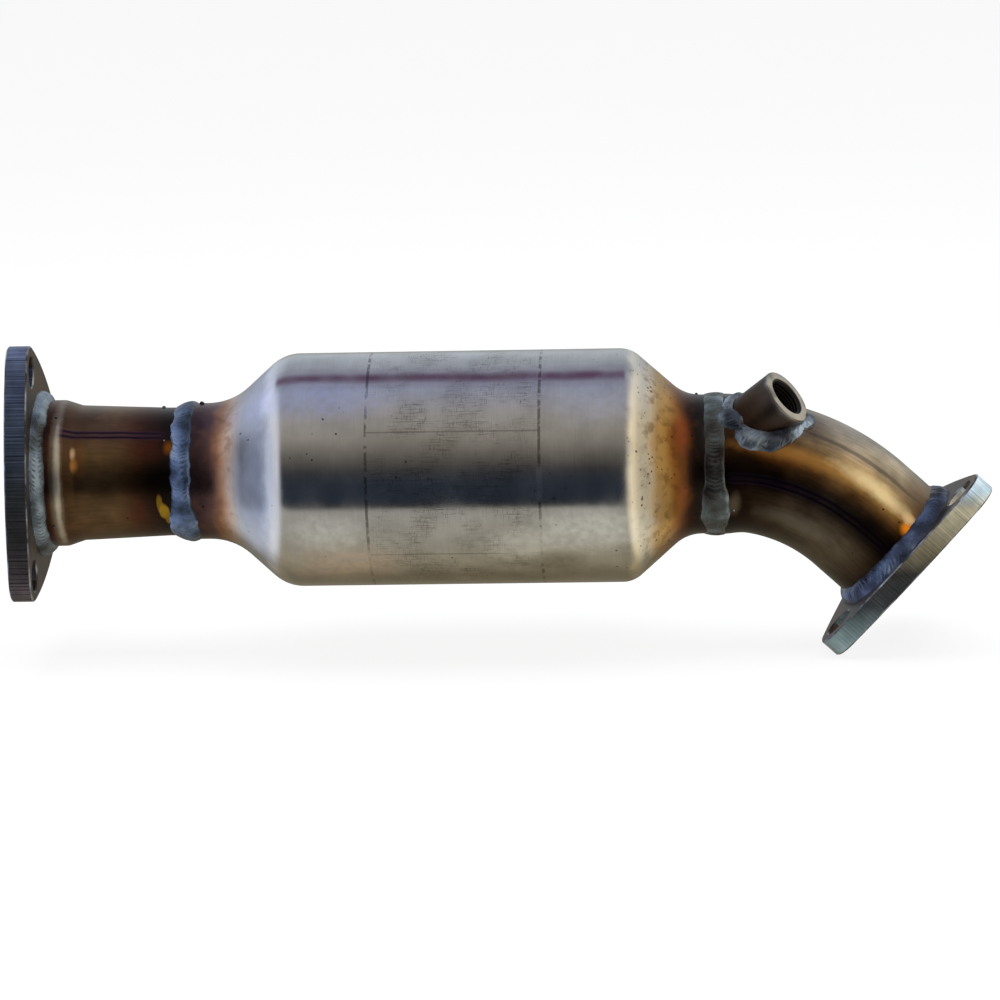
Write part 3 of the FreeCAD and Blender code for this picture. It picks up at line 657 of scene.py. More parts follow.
def laser_cut_rim(name, low, high, stops, depth):
    """The laser-cut edge of a thick plate: fine lines straight across it, oxide colours with
    painted reflections that change with height.

    stops run from the height low to the height high, in millimetres, and depth is how
    strongly the lines show.
    """
    material, tree, shader = new_finish(name)
    run, _ = surface_path(tree)
    solid = add(tree, "TexCoord", out="Object")
    parts = add(tree, "SeparateXYZ", {0: solid}).node
    # colour by height: oxide colours laid out as painted reflection bands
    height = add(tree, "MapRange", {0: parts.outputs[2], 1: low * MM, 2: high * MM})
    base = add(tree, "ValToRGB", {0: height}, stops=stops)
    # a laser's drag lines are about 0.3 mm apart; here about 0.85 mm, so that they show
    step = add(tree, "Math", {0: run, 1: 1 / (1.7 * MM)}, operation="MULTIPLY")
    lines = add(tree, "CombineXYZ", {0: step})
    grain = add(tree, "TexNoise", {"Vector": lines, "Scale": 2.0, "Detail": 2.0})
    cloud = add(tree, "TexNoise", {"Vector": solid, "Scale": 1 / (8 * MM), "Detail": 3.0})
    base = shaded(tree, base, grain, 0.35, 0.65, 1 - depth, 1 + depth)
    base = shaded(tree, base, cloud, 0.3, 0.7, 0.75, 1.2)
    bump = add(tree, "Bump", {"Strength": depth, "Distance": 0.3 * MM, "Height": grain})
    fill(shader, {"Base Color": base, "Normal": bump, "Metallic": 0.65, "Roughness": 0.36})
    return material


def plate_face(name, steel, scale, tan):
    """Hot-rolled plate: grey steel under patchy brown and tan heat scale."""
    material, tree, shader = new_finish(name)
    solid = add(tree, "TexCoord", out="Object")
    wide = add(tree, "TexNoise", {"Vector": solid, "Scale": 1 / (16 * MM), "Detail": 6.0})
    fine = add(tree, "TexNoise", {"Vector": solid, "Scale": 1 / (1.2 * MM), "Detail": 3.0})
    stops = [(0.32, scale), (0.47, steel), (0.6, tan), (0.75, steel)]
    base = add(tree, "ValToRGB", {0: wide}, stops=stops)
    base = shaded(tree, base, fine, 0.3, 0.7, 0.8, 1.12)
    rough = add(tree, "MapRange", {0: wide, 1: 0.3, 2: 0.7, 3: 0.36, 4: 0.55})
    bump = add(tree, "Bump", {"Strength": 0.3, "Distance": 0.1 * MM, "Height": fine})
    fill(shader, {"Base Color": base, "Roughness": rough, "Normal": bump, "Metallic": 0.8})
    return material


def worn_highlit_arris():
    """Plate's broken edge, rubbed back to bare steel through the scale and made paler, partly as a
    painted highlight along it.
    """
    material, tree, shader = new_finish("WornHighlitArris")
    solid = add(tree, "TexCoord", out="Object")
    rub = add(tree, "TexNoise", {"Vector": solid, "Scale": 1 / (7 * MM), "Detail": 4.0})
    stops = [(0.38, "#3c3a3a"), (0.55, "#7d8088"), (0.7, "#b4b9c2")]
    base = add(tree, "ValToRGB", {0: rub}, stops=stops)
    fill(shader, {"Base Color": base, "Metallic": 0.9, "Roughness": 0.35})
    return material


def turned_boss_steel():
    """Turned bar: a bright face, fine lathe lines, brown where the weld heated it."""
    along = (30, 54.5, [
        (0.0, "#281912"), (0.35, "#39281d"), (0.6, "#42342a"), (0.9, "#4c433c"),
        (0.96, "#6a6562"), (1.0, "#b2ada7"),
    ])
    plain = [(0.0, "#ffffff"), (1.0, "#ffffff")]
    return brushed_metal("TurnedBoss", along, plain, 0.4, (0.5, 30, 0.8), 0.36)


def shaded_threaded_bore():
    """The boss's M18 x 1.5 thread, near black as painted shade inside the bore, with a fine turn
    every 1.5 mm.
    """
    material, tree, shader = new_finish("ShadedThreadedBore")
    run, around = surface_path(tree)
    pitch = add(tree, "Math", {0: run, 1: 2 * math.pi / (1.5 * MM)}, operation="MULTIPLY")
    helix = add(tree, "Math", {0: pitch, 1: around}, operation="ADD")
    wave = add(tree, "Math", {0: helix}, operation="SINE")
    base = add(tree, "ValToRGB", {0: wave}, stops=[(0.2, "#191614"), (0.9, "#2c2723")])
    bump = add(tree, "Bump", {"Strength": 0.4, "Distance": 0.4 * MM, "Height": wave})
    fill(shader, {"Base Color": base, "Normal": bump, "Metallic": 0.7, "Roughness": 0.5})
    return material


def fibre_mat():
    """Intumescent mat: pressed ceramic fibre with gold vermiculite flakes."""
    material, tree, shader = new_finish("FibreMat")
    solid = add(tree, "TexCoord", out="Object")
    fluff = add(tree, "TexNoise", {"Vector": solid, "Scale": 1 / (1.5 * MM), "Detail": 6.0})
    stops = [(0.35, "#b9ae96"), (0.52, "#d9d2c0"), (0.68, "#c2a76a")]
    base = add(tree, "ValToRGB", {0: fluff}, stops=stops)
    bump = add(tree, "Bump", {"Strength": 0.8, "Distance": 0.4 * MM, "Height": fluff})
    fill(shader, {"Base Color": base, "Normal": bump, "Roughness": 0.95})
    return material


def coated_ceramic():
    """Cordierite with its precious-metal wash coat: matt, grainy, buff to grey-brown."""
    material, tree, shader = new_finish("CoatedCordierite")
    solid = add(tree, "TexCoord", out="Object")
    grit = add(tree, "TexNoise", {"Vector": solid, "Scale": 1 / (0.8 * MM), "Detail": 5.0})
    wash = add(tree, "TexNoise", {"Vector": solid, "Scale": 1 / (18 * MM), "Detail": 2.0})
    stops = [(0.35, "#8d7f68"), (0.6, "#b3a58a"), (0.8, "#9a8a70")]
    base = add(tree, "ValToRGB", {0: wash}, stops=stops)
    base = shaded(tree, base, grit, 0.3, 0.7, 0.85, 1.1)
    bump = add(tree, "Bump", {"Strength": 0.5, "Distance": 0.1 * MM, "Height": grit})
    fill(shader, {"Base Color": base, "Normal": bump, "Roughness": 0.9})
    return material


# ---- shapes ---------------------------------------------------------------------------


def shell_outline(size):
    """Closed section of the can with its cones and necks."""
    can = size.can_diameter / MM / 2
    inlet = size.inlet_neck / MM / 2
    outlet = size.outlet_neck / MM / 2
    corners = [
        (77, inlet, 0), (96.8, inlet, 28), (121.1, can, 19),
        (276.8, can, 13), (301, outlet, 18), (313, outlet, 0),
    ]
    return walled(rounded(corners), size.wall / MM)


def pipe_outline(size):
    """Closed section of the inlet pipe, swelled at its flange."""
    swell = size.swell / MM / 2
    end = size.pipe_end / MM / 2
    corners = [(SOCKET, swell, 0), (21.5, swell, 6), (29, 30.5, 6), (68, end, 0), (76, end, 0)]
    return walled(rounded(corners), size.wall / MM)


def elbow_radius(size, distance):
    """Outside radius of the elbow, which draws in over the start of its bend."""
    draw = 16 * MM
    drawn = min(max((distance - size.lead) / draw, 0), 1)
    eased = drawn * drawn * (3 - 2 * drawn)
    return size.elbow_start / 2 + (size.elbow - size.elbow_start) / 2 * eased


def elbow_end(size):
    """Length of the elbow's centreline up to its flange's inner face."""
    return size.lead + size.bend_radius * size.bend_angle + size.tail


def elbow_tube(size):
    """The elbow's wall as a chain of rings: out along the outside, back along the inside."""
    total = elbow_end(size) + size.outlet_plate - SOCKET * MM
    count = 60
    places = [total * step / count for step in range(count + 1)]
    outside = [(along_elbow(size, d), elbow_radius(size, d)) for d in places]
    inside = [(along_elbow(size, d), elbow_radius(size, d) - size.wall) for d in places[::-1]]
    return sweep_rings(outside + inside)


def elbow_surface(size):
    """The elbow's outside as something to cast rays at."""
    tube = elbow_tube(size)
    tree = BVHTree.FromBMesh(tube)
    tube.free()
    return tree


def boss_point(radius, angle, distance):
    """A point this far out from the boss's line and this far along it."""
    local = Vector((radius * math.cos(angle), radius * math.sin(angle), distance))
    return BOSS_AIM + BOSS_TURN @ local


def boss_depth(surface, radius, angle):
    """How far along the boss's line the elbow's outside lies under this point."""
    above = BOSS_FACE + 5 * MM
    down = BOSS_TURN @ Vector((0, 0, -1))
    hit, _, _, distance = surface.ray_cast(boss_point(radius, angle, above), down)
    if hit is None:
        raise RuntimeError("the boss misses the elbow")
    return above - distance


def heading(angle):
    """The way that an angle in degrees points."""
    turn = math.radians(angle)
    return Vector((math.cos(turn), math.sin(turn)))


def plate_outline(circle, lobe, bow):
    """Corner arcs round three bolt holes, joined by long bowed sides, in a plate's plane."""
    reach = circle / 2
    half_side = reach * math.sin(math.radians(60))
    arm = (bow ** 2 + half_side ** 2) / (2 * bow)
    spread = math.degrees(math.asin(half_side / arm))
    inset = arm - bow - reach / 2
    points = []
    for corner in (0, 120, 240):
        for offset, radius, middle, half, count in (
            (reach, lobe, corner, 60 - spread, 14), (-inset, arm + lobe, corner + 60, spread, 40)
        ):
            for step in range(count):
                angle = middle - half + 2 * half * step / count
                points.append(heading(middle) * offset + heading(angle) * radius)
    return points


def build_plate(size, circle, bow, bore, thickness):
    """A plate on its own YZ plane, thick along +X: faces, then rim, then arris slots."""
    outline = plate_outline(circle, size.lobe / MM, bow)
    mesh = bmesh.new()

    def loop(points):
        return closed_loop(mesh, [mesh.verts.new((0, y * MM, z * MM)) for y, z in points])

    def ring(y, z, radius, count):
        turns = [2 * math.pi * step / count for step in range(count)]
        return [(y + radius * math.cos(turn), z + radius * math.sin(turn)) for turn in turns]

    edges = loop(outline) + loop(ring(0, 0, bore / 2, 160))
    for corner in (0, 120, 240):
        turn = math.radians(corner)
        y, z = circle / 2 * math.cos(turn), circle / 2 * math.sin(turn)
        edges += loop(ring(y, z, size.bolt_hole / MM / 2, 56))
    bmesh.ops.triangle_fill(mesh, edges=edges, use_beauty=True)
    grown = bmesh.ops.extrude_face_region(mesh, geom=list(mesh.faces))["geom"]
    bmesh.ops.translate(
        mesh, vec=(thickness * MM, 0, 0),
        verts=[part for part in grown if isinstance(part, bmesh.types.BMVert)],
    )
    bmesh.ops.recalc_face_normals(mesh, faces=mesh.faces)
    corners = [
        edge for edge in mesh.edges
        if len(edge.link_faces) == 2 and edge.calc_face_angle(0) > math.radians(60)
    ]
    bmesh.ops.bevel(
        mesh, geom=corners, offset=size.arris, segments=1, profile=0.5, affect="EDGES",
        material=-1, clamp_overlap=True,
    )
    inner = (bore / 2 + 2) * MM
    for face in mesh.faces:
        centre = face.calc_center_median()
        outward = Vector((0, centre.y, centre.z))
        tilt = abs(face.normal.x)
        edge_on = tilt < 0.5 and face.normal.dot(outward) > 0
        face.material_index = 1 if edge_on and outward.length > inner else 0
        if 0.35 < tilt < 0.95:
            face.material_index = 2
    bmesh.ops.recalc_face_normals(mesh, faces=mesh.faces)
    return mesh, outline


def along_rim(placement, outline):
    """Distance round a plate's outline, read from the direction out of its middle."""
    table, total = [], 0.0
    for number, point in enumerate(outline):
        table.append((math.atan2(point.y, point.x) % (2 * math.pi), total))
        total += (outline[(number + 1) % len(outline)] - point).length
    table.sort()
    angles = [angle for angle, _ in table]
    back = placement.inverted()

    def locate(point):
        local = back @ point
        angle = math.atan2(local.z, local.y) % (2 * math.pi)
        place = min(bisect_left(angles, angle), len(table) - 1)
        before = table[place - 1]
        after = table[place]
        share = (angle - before[0]) % (2 * math.pi) / ((after[0] - before[0]) % (2 * math.pi) or 1)
        step = after[1] - before[1]
        run = before[1] + share * (step if abs(step) < total / 2 else 0)
        # a rim is read by its run alone
        return run * MM, 1, 0

    return locate


def add_flange(name, finishes, placement, sizes):
    """Add a finished flange; sizes are (bolt circle, bow, bore, thickness) in millimetres."""
    size = getattr(bpy.context.scene, SIZES)
    mesh, outline = build_plate(size, *sizes)
    bmesh.ops.transform(mesh, matrix=placement, verts=mesh.verts)
    locate = along_rim(placement, outline)
    hand_over(
        mesh, name, finishes, [name.replace("_plate", "")], "flange_steel", locate,
        smooth=math.radians(28),
    )


def ripples(size, radius, angle, across):
    """Height of a bead's crescent ripples at this angle and this far across it (0 to 1)."""
    lag = 1.5 * (1 - (2 * across - 1) ** 2)
    phase = angle * radius / size.ripple_pitch + lag + 1.2 * wander(31, angle, 6)
    crest = 0.5 + 0.5 * math.sin(2 * math.pi * phase)
    return size.ripple * (crest ** 0.6) * math.sin(math.pi * across)


def bead_mesh(section, base, steps=640, points=14):
    """Spin a bead's section and shape each ring.

    section(angle, across) gives (along, out) in metres; base is one hidden corner under it.
    """
    mesh = bmesh.new()
    mark = mesh.verts.layers.float.new("across")
    corners = []
    for number in range(points + 1):
        across = number / points
        along, out = section(0, across)
        corner = mesh.verts.new((along, 0, out))
        corner[mark] = across
        corners.append(corner)
    hidden = mesh.verts.new((base[0], 0, base[1]))
    hidden[mark] = -1
    corners.append(hidden)
    spin_round(mesh, corners, (1, 0, 0), steps)
    for corner in mesh.verts:
        across = corner[mark]
        if across < 0:
            continue
        angle = math.atan2(corner.co.z, -corner.co.y)
        along, out = section(angle, across)
        corner.co = Vector((along, -math.cos(angle) * out, math.sin(angle) * out))
    bmesh.ops.recalc_face_normals(mesh, faces=mesh.faces)
    return mesh


def fillet_section(size, seed, pipe_radius, start, reach, rise, crown):
    """Section of a fillet weld from up a plate's face down onto its pipe."""

    def section(angle, across):
        wide = 1 + 0.16 * wander(seed, angle, 2.5) + 0.09 * wander(seed + 5, angle, 9)
        high = 1 + 0.14 * wander(seed + 9, angle, 3) + 0.08 * wander(seed + 3, angle, 11)
        along = reach * wide * across
        out = rise * high * (1 - across)
        swell = math.sin(math.pi * across) * crown + ripples(size, pipe_radius, angle, across)
        slope = math.hypot(reach, rise)
        return (
            start + along + swell * rise / slope - (BURIED if across == 0 else 0),
            pipe_radius + out + swell * reach / slope - (BURIED if across == 1 else 0),
        )

    return section


def butt_section(size, seed, ends, height, lump):
    """Section of a butt weld across two tube ends, with one lumpy overlap.

    ends is (first edge, its radius, second edge, its radius); lump is (angle, half, height).
    """
    first, first_radius, second, second_radius = ends
    lump_at, lump_half, lump_height = lump

    def section(angle, across):
        ragged = 0.7 * MM * wander(seed, angle, 8) + 0.8 * MM * wander(seed + 2, angle, 3)
        frayed = 0.7 * MM * wander(seed + 4, angle, 7) + 0.8 * MM * wander(seed + 6, angle, 3)
        off = (angle - math.radians(lump_at) + math.pi) % (2 * math.pi) - math.pi
        near = max(0.0, 1 - (off / math.radians(lump_half)) ** 2)
        start, end = first - ragged - 2 * MM * near, second + frayed + 2 * MM * near
        along = start + (end - start) * across
        line = first_radius + (second_radius - first_radius) * min(max(1.6 * across - 0.2, 0), 1)
        dome = math.sin(math.pi * across) ** 0.55
        rough = 0.5 * MM * noise.noise(Vector((angle * 12, across * 4, seed)))
        out = line + dome * (height + near * (lump_height + rough))
        out += ripples(size, first_radius, angle, across) * (1 - near)
        return along, out - (BURIED if across in (0, 1) else 0)

    return section


def saddle_mesh(size, surface, steps=420, points=12):
    """The ragged weld round the sensor boss, from its side down onto the elbow.

    A lump is (where, half its width, added spread, added climb), in degrees and millimetres.
    """
    boss = size.boss / 2
    lumps = (
        (-150, 22, 3.2, 2.2), (-92, 36, 4.4, 0.6), (-56, 28, 3.6, 1.2), (-8, 22, 3.4, 2.2),
        (60, 40, 0.2, 0.2), (140, 40, 0.4, 0.2),
    )
    mesh = bmesh.new()
    turns = [2 * math.pi * step / steps for step in range(steps)]
    section = [mesh.verts.new((0, 0, number * MM)) for number in range(points + 2)]
    first = edges = closed_loop(mesh, section)
    rings = [section]
    for _ in turns[1:]:
        grown = bmesh.ops.extrude_edge_only(mesh, edges=edges)["geom"]
        edges = [part for part in grown if isinstance(part, bmesh.types.BMEdge)]
        chain = {corner for edge in edges for corner in edge.verts}
        rings.append(sorted(chain, key=lambda corner: corner.co.z))
    for ring, turn in zip(rings, turns):
        spread = 2.4 * MM * (1 + 0.26 * wander(3, turn, 3) + 0.2 * wander(8, turn, 9))
        climb = 2.0 * MM * (1 + 0.3 * wander(5, turn, 4))
        for at, half, wider, higher in lumps:
            off = (math.degrees(turn) - at + 180) % 360 - 180
            near = max(0.0, 1 - (off / half) ** 2)
            spread += wider * MM * near
            climb += higher * MM * near
        root = boss_depth(surface, boss + 0.2 * MM, turn)
        top = boss_point(boss - BURIED, turn, root + climb)
        foot_radius = boss + spread
        foot = boss_point(foot_radius, turn, boss_depth(surface, foot_radius, turn) - BURIED)
        hidden = boss_point(boss - BURIED, turn, root - 0.5 * MM)
        out = (foot - hidden).normalized() + (top - hidden).normalized()
        out.normalize()
        for number, corner in enumerate(ring[:-1]):
            across = number / points
            place = top.lerp(foot, across)
            bulge = math.sin(math.pi * across) * (0.9 * MM + 0.16 * spread)
            bulge += ripples(size, boss, turn, across) * 1.3
            lumpy = noise.noise(place / (3.2 * MM)) * 0.8 * MM * math.sin(math.pi * across)
            corner.co = place + out * (bulge + lumpy)
        ring[-1].co = hidden
    bmesh.ops.bridge_loops(mesh, edges=first + edges)
    bmesh.ops.recalc_face_normals(mesh, faces=mesh.faces)
    return mesh


# ---- operators ------------------------------------------------------------------------


class BuildShell(bpy.types.Operator):
    """Build the spun can with both its cones and necks"""

    bl_idname = "converter.shell"
    bl_label = "Can"

    def execute(self, context):
        size = getattr(context.scene, SIZES)
        mesh = spin_outline(shell_outline(size), 240)
        hand_over(mesh, "can_shell", [spun_stainless()], ["converter_shell"], "can_steel")
        return {"FINISHED"}


class BuildInletPipe(bpy.types.Operator):
    """Build the tapered inlet pipe"""

    bl_idname = "converter.inlet_pipe"
    bl_label = "Inlet Pipe"

    def execute(self, context):
        size = getattr(context.scene, SIZES)
        mesh = spin_outline(pipe_outline(size), 200)
        hand_over(mesh, "inlet_tube", [inlet_tube_steel()], ["inlet_pipe"], "pipe_steel")
        return {"FINISHED"}


class BuildElbow(bpy.types.Operator):
    """Build the outlet elbow and pierce it under the sensor boss"""

    bl_idname = "converter.elbow"
    bl_label = "Outlet Elbow"

    def execute(self, context):
        size = getattr(context.scene, SIZES)
        piece = link_object("outlet_tube", elbow_tube(size))
        radius, depth = 9.5 * MM, 40 * MM
        drill = bmesh.new()
        bmesh.ops.create_cone(
            drill, cap_ends=True, segments=72, radius1=radius, radius2=radius, depth=depth
        )
        place = Matrix.Translation(BOSS_AIM) @ BOSS_TURN.to_4x4()
        place = place @ Matrix.Translation((0, 0, depth))
        bmesh.ops.transform(drill, matrix=place, verts=drill.verts)
        cutter = link_object("port_drill", drill)
        pierce = piece.modifiers.new("Port", "BOOLEAN")
        pierce.object = cutter
        pierce.operation = "DIFFERENCE"
        pierce.solver = "EXACT"
        context.view_layer.update()
        shown = piece.evaluated_get(context.evaluated_depsgraph_get())
        pierced = bpy.data.meshes.new_from_object(shown)
        piece.modifiers.clear()
        piece.data = pierced
        bpy.data.objects.remove(cutter)
        finish_piece(piece, [elbow_steel()], ["outlet_elbow"], "pipe_steel", about_elbow(size))
        return {"FINISHED"}


class BuildFlanges(bpy.types.Operator):
    """Build both laser-cut flanges"""

    bl_idname = "converter.flanges"
    bl_label = "Flanges"

    def execute(self, context):
        size = getattr(context.scene, SIZES)
        # oxide blues, dark in the middle and paler at top and bottom as painted reflection
        inlet_rim = laser_cut_rim("DarkLaserCutRim", -64, 60, [
            (0.0, "#6a6064"), (0.15, "#544c50"), (0.3, "#363334"), (0.5, "#303235"),
            (0.7, "#384354"), (0.9, "#414b64"), (1.0, "#58637e"),
        ], 0.65)
        inlet_face = plate_face("ScaledPlate", "#3d3633", "#221d1b", "#5a4838")
        arris = worn_highlit_arris()
        inlet_place = Matrix.Rotation(math.radians(-11), 4, "X")
        add_flange(
            "inlet_flange_plate", [inlet_face, inlet_rim, arris], inlet_place,
            (105, 6.5, size.swell / MM + 0.2, size.inlet_plate / MM),
        )
        # painted reflection over oxide: teal at the bottom, dark in the middle, cream then pale
        # blue at the top
        outlet_rim = laser_cut_rim("PaleLaserCutRim", -82, -2, [
            (0.0, "#a4bcc0"), (0.16, "#7c9092"), (0.3, "#46494b"), (0.48, "#3f3e3b"),
            (0.62, "#a09678"), (0.84, "#e0d8b8"), (0.93, "#c8e2f6"), (1.0, "#dceefc"),
        ], 0.3)
        outlet_face = plate_face("BlueScaledPlate", "#54514f", "#2c2827", "#75655a")
        place = along_elbow(size, elbow_end(size)) @ Matrix.Rotation(math.radians(-90), 4, "Y")
        add_flange(
            "outlet_flange_plate", [outlet_face, outlet_rim, arris], place,
            (91, 2.5, size.elbow / MM + 0.2, size.outlet_plate / MM),
        )
        return {"FINISHED"}


class BuildFlangeWelds(bpy.types.Operator):
    """Lay the fillet welds behind both flanges"""

    bl_idname = "converter.flange_welds"
    bl_label = "Flange Welds"

    def execute(self, context):
        size = getattr(context.scene, SIZES)
        grey = weld_bead("GreyWeldBead", "#84929e", "#606a73", "#45464a")
        radius = size.swell / 2
        section = fillet_section(size, 11, radius, size.inlet_plate, 5.6 * MM, 4.4 * MM, 0.8 * MM)
        mesh = bead_mesh(section, (size.inlet_plate, radius - BURIED))
        hand_over(mesh, "inlet_flange_bead", [grey], ["inlet_flange_weld"], "weld_metal")
        violet = weld_bead("VioletWeldBead", "#5d6b88", "#3d465c", "#2a2a34")
        radius = size.elbow / 2
        section = fillet_section(size, 23, radius, 0, 6.4 * MM, 4.4 * MM, 0.6 * MM)
        mesh = bead_mesh(section, (0, radius - BURIED))
        place = along_elbow(size, elbow_end(size)) @ Matrix.Rotation(math.radians(90), 4, "Y")
        bmesh.ops.transform(mesh, matrix=place, verts=mesh.verts)
        hand_over(mesh, "outlet_flange_bead", [violet], ["outlet_flange_weld"], "weld_metal")
        return {"FINISHED"}


class BuildNeckWelds(bpy.types.Operator):
    """Lay the butt welds between the can's necks and its pipes"""

    bl_idname = "converter.neck_welds"
    bl_label = "Neck Welds"

    def execute(self, context):
        size = getattr(context.scene, SIZES)
        blue = weld_bead("BlueWeldBead", "#6a7da0", "#45546e", "#2a303c")
        pipe, neck = size.pipe_end / 2, size.inlet_neck / 2
        ends = (71.6 * MM, pipe, 81 * MM, neck)
        section = butt_section(size, 41, ends, 1.1 * MM, (-46, 26, 1.3 * MM))
        mesh = bead_mesh(section, (76.5 * MM, pipe - 0.8 * MM))
        hand_over(mesh, "inlet_neck_bead", [blue], ["inlet_neck_weld"], "weld_metal")
        dull = weld_bead("DullWeldBead", "#606a69", "#4b4b48", "#302b28")
        neck, start = size.outlet_neck / 2, size.elbow_start / 2
        ends = (309 * MM, neck, 318.4 * MM, start)
        section = butt_section(size, 57, ends, 0.5 * MM, (-30, 24, 0.7 * MM))
        mesh = bead_mesh(section, (313.5 * MM, neck - 0.8 * MM))
        hand_over(mesh, "outlet_neck_bead", [dull], ["outlet_neck_weld"], "weld_metal")
        return {"FINISHED"}


class BuildBoss(bpy.types.Operator):
    """Build the sensor boss, coped to the elbow, and the ragged weld round it"""

    bl_idname = "converter.boss"
    bl_label = "Sensor Boss"

    def execute(self, context):
        size = getattr(context.scene, SIZES)
        surface = elbow_surface(size)
        outer, bore, mouth = size.boss / 2, size.boss_bore / 2, size.boss_mouth / 2
        face = BOSS_FACE
        outline = [
            (bore, None), (bore, face - 1.3 * MM), (mouth - 0.2 * MM, face - 0.15 * MM),
            (mouth, face), (outer - 0.5 * MM, face), (outer - 0.12 * MM, face - 0.15 * MM),
            (outer, face - 0.5 * MM), (outer, None),
        ]
        mesh = bmesh.new()
        corners = [mesh.verts.new((out, 0, along or 0)) for out, along in outline]
        spin_round(mesh, corners, (0, 0, 1), 144)
        for corner in mesh.verts:
            turn = math.atan2(corner.co.y, corner.co.x)
            out = math.hypot(corner.co.x, corner.co.y)
            along = corner.co.z
            if along < 1 * MM:
                along = boss_depth(surface, out, turn) - 0.05 * MM
            corner.co = boss_point(out, turn, along)
        bmesh.ops.recalc_face_normals(mesh, faces=mesh.faces)
        back = BOSS_TURN.inverted()

        def locate(point):
            local = back @ (point - BOSS_AIM)
            out = math.hypot(local.x, local.y) or 1
            return local.z, local.x / out, local.y / out

        for side in mesh.faces:
            middle = back @ (side.calc_center_median() - BOSS_AIM)
            if math.hypot(middle.x, middle.y) < mouth - 0.15 * MM:
                side.material_index = 1
        hand_over(
            mesh, "boss_tube", [turned_boss_steel(), shaded_threaded_bore()], ["sensor_boss"],
            "boss_steel", locate, math.radians(25),
        )
        lumpy = weld_bead("LumpyWeldBead", "#848d97", "#545a62", "#2f2f38")
        # pale blue ovals are painted highlights on the bead; dark ones are painted shade in its
        # gaps
        stain(lumpy, (
            (315, 78, 5, 14, 0.6, 0.8, "#b4c2d8"), (355, 42, 6, 12, 0.6, 0.8, "#b9cbe2"),
            (322, 48, 4, 14, 0.6, 0.8, "#262834"), (330, 60, 5, 8, 0.6, 0.6, "#2b2a30"),
        ))
        saddle = saddle_mesh(size, surface)
        hand_over(saddle, "boss_bead", [lumpy], ["sensor_boss_weld"], "weld_metal")
        return {"FINISHED"}


class BuildSpatter(bpy.types.Operator):
    """Scatter a few beads of weld spatter beside the welds"""

    bl_idname = "converter.spatter"
    bl_label = "Weld Spatter"

    def execute(self, context):
        # run and angle, the bead's radius, and how far out of the can's axis it sits
        places = [
            (66, 95, 0.9, 29), (83.5, 92, 1.1, 30.8), (69, 40, 0.5, 28.9), (86, -20, 0.5, 30.8),
            (20, 60, 0.6, 33), (18.5, -35, 0.7, 33), (90, 120, 0.6, 31), (68, 150, 0.8, 29),
            (67, -120, 0.7, 29), (88, -150, 0.6, 31), (306, 100, 0.7, 31.4), (304, 35, 0.5, 31.5),
            (303, -95, 0.6, 31.5), (305, 160, 0.7, 31.4), (322, -30, 0.5, 31.2),
            (321, 175, 0.6, 31.2),
        ]
        mesh = bmesh.new()
        for along, angle, radius, out in places:
            turn = math.radians(angle)
            centre = Vector((along, -math.cos(turn) * out, math.sin(turn) * out)) * MM
            bead = bmesh.ops.create_icosphere(mesh, subdivisions=2, radius=radius * MM)["verts"]
            for corner in bead:
                corner.co *= 1 + 0.3 * noise.noise(corner.co / (0.6 * MM) + centre / MM)
            bmesh.ops.translate(mesh, vec=centre, verts=bead)
        dark = weld_bead("SpatterBead", "#5c5f66", "#433c3a", "#262120")
        hand_over(mesh, "weld_spatter", [dark], [], "weld_metal")
        return {"FINISHED"}


class DressCore(bpy.types.Operator):
    """Give the brick and its mat their own materials"""

    bl_idname = "converter.core"
    bl_label = "Brick and Mat"

    def execute(self, context):
        for node, finish in (
            ("catalyst_substrate", coated_ceramic()), ("support_mat", fibre_mat())
        ):
            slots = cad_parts[node].data.materials
            slots.clear()
            slots.append(finish)
        return {"FINISHED"}


def add_lamp(name, power, shape, location, target, colour_code):
    """A softbox; the metal mirrors the tent instead of the lamp itself."""
    lamp = bpy.data.lights.new(name, "AREA")
    lamp.energy = power
    lamp.shape = "RECTANGLE"
    lamp.size, lamp.size_y = shape
    lamp.color = linear(colour_code)[:3]
    holder = bpy.data.objects.new(name, lamp)
    bpy.context.scene.collection.objects.link(holder)
    holder.location = location
    holder.rotation_mode = "QUATERNION"
    holder.rotation_quaternion = (Vector(target) - Vector(location)).to_track_quat("-Z", "Y")
    holder.visible_glossy = False


def backdrop_rays(tree):
    """1 where the backdrop itself is looked at, mirrored or seen through glass, else 0."""
    path = add(tree, "LightPath").node
    seen = path.outputs["Is Camera Ray"]
    for ray in ("Is Glossy Ray", "Is Transmission Ray"):
        seen = add(tree, "Math", {0: seen, 1: path.outputs[ray]}, operation="MAXIMUM")
    return seen


def pale_floor(finish):
    """Matt white board that glows a little, so that it reads as white paper."""
    material, tree, shader = new_finish("PaleFloor")
    fill(shader, {"Base Color": (*finish.floor, 1), "Roughness": 0.9})
    glow = add(tree, "Emission", {"Color": linear("#ffffff"), "Strength": 1.0})
    share = add(tree, "Math", {0: backdrop_rays(tree), 1: 0.86}, operation="MULTIPLY")
    mixed = add(tree, "MixShader", {0: share, 1: shader.outputs[0], 2: glow})
    fill(tree.nodes["Material Output"], {"Surface": mixed})
    return material


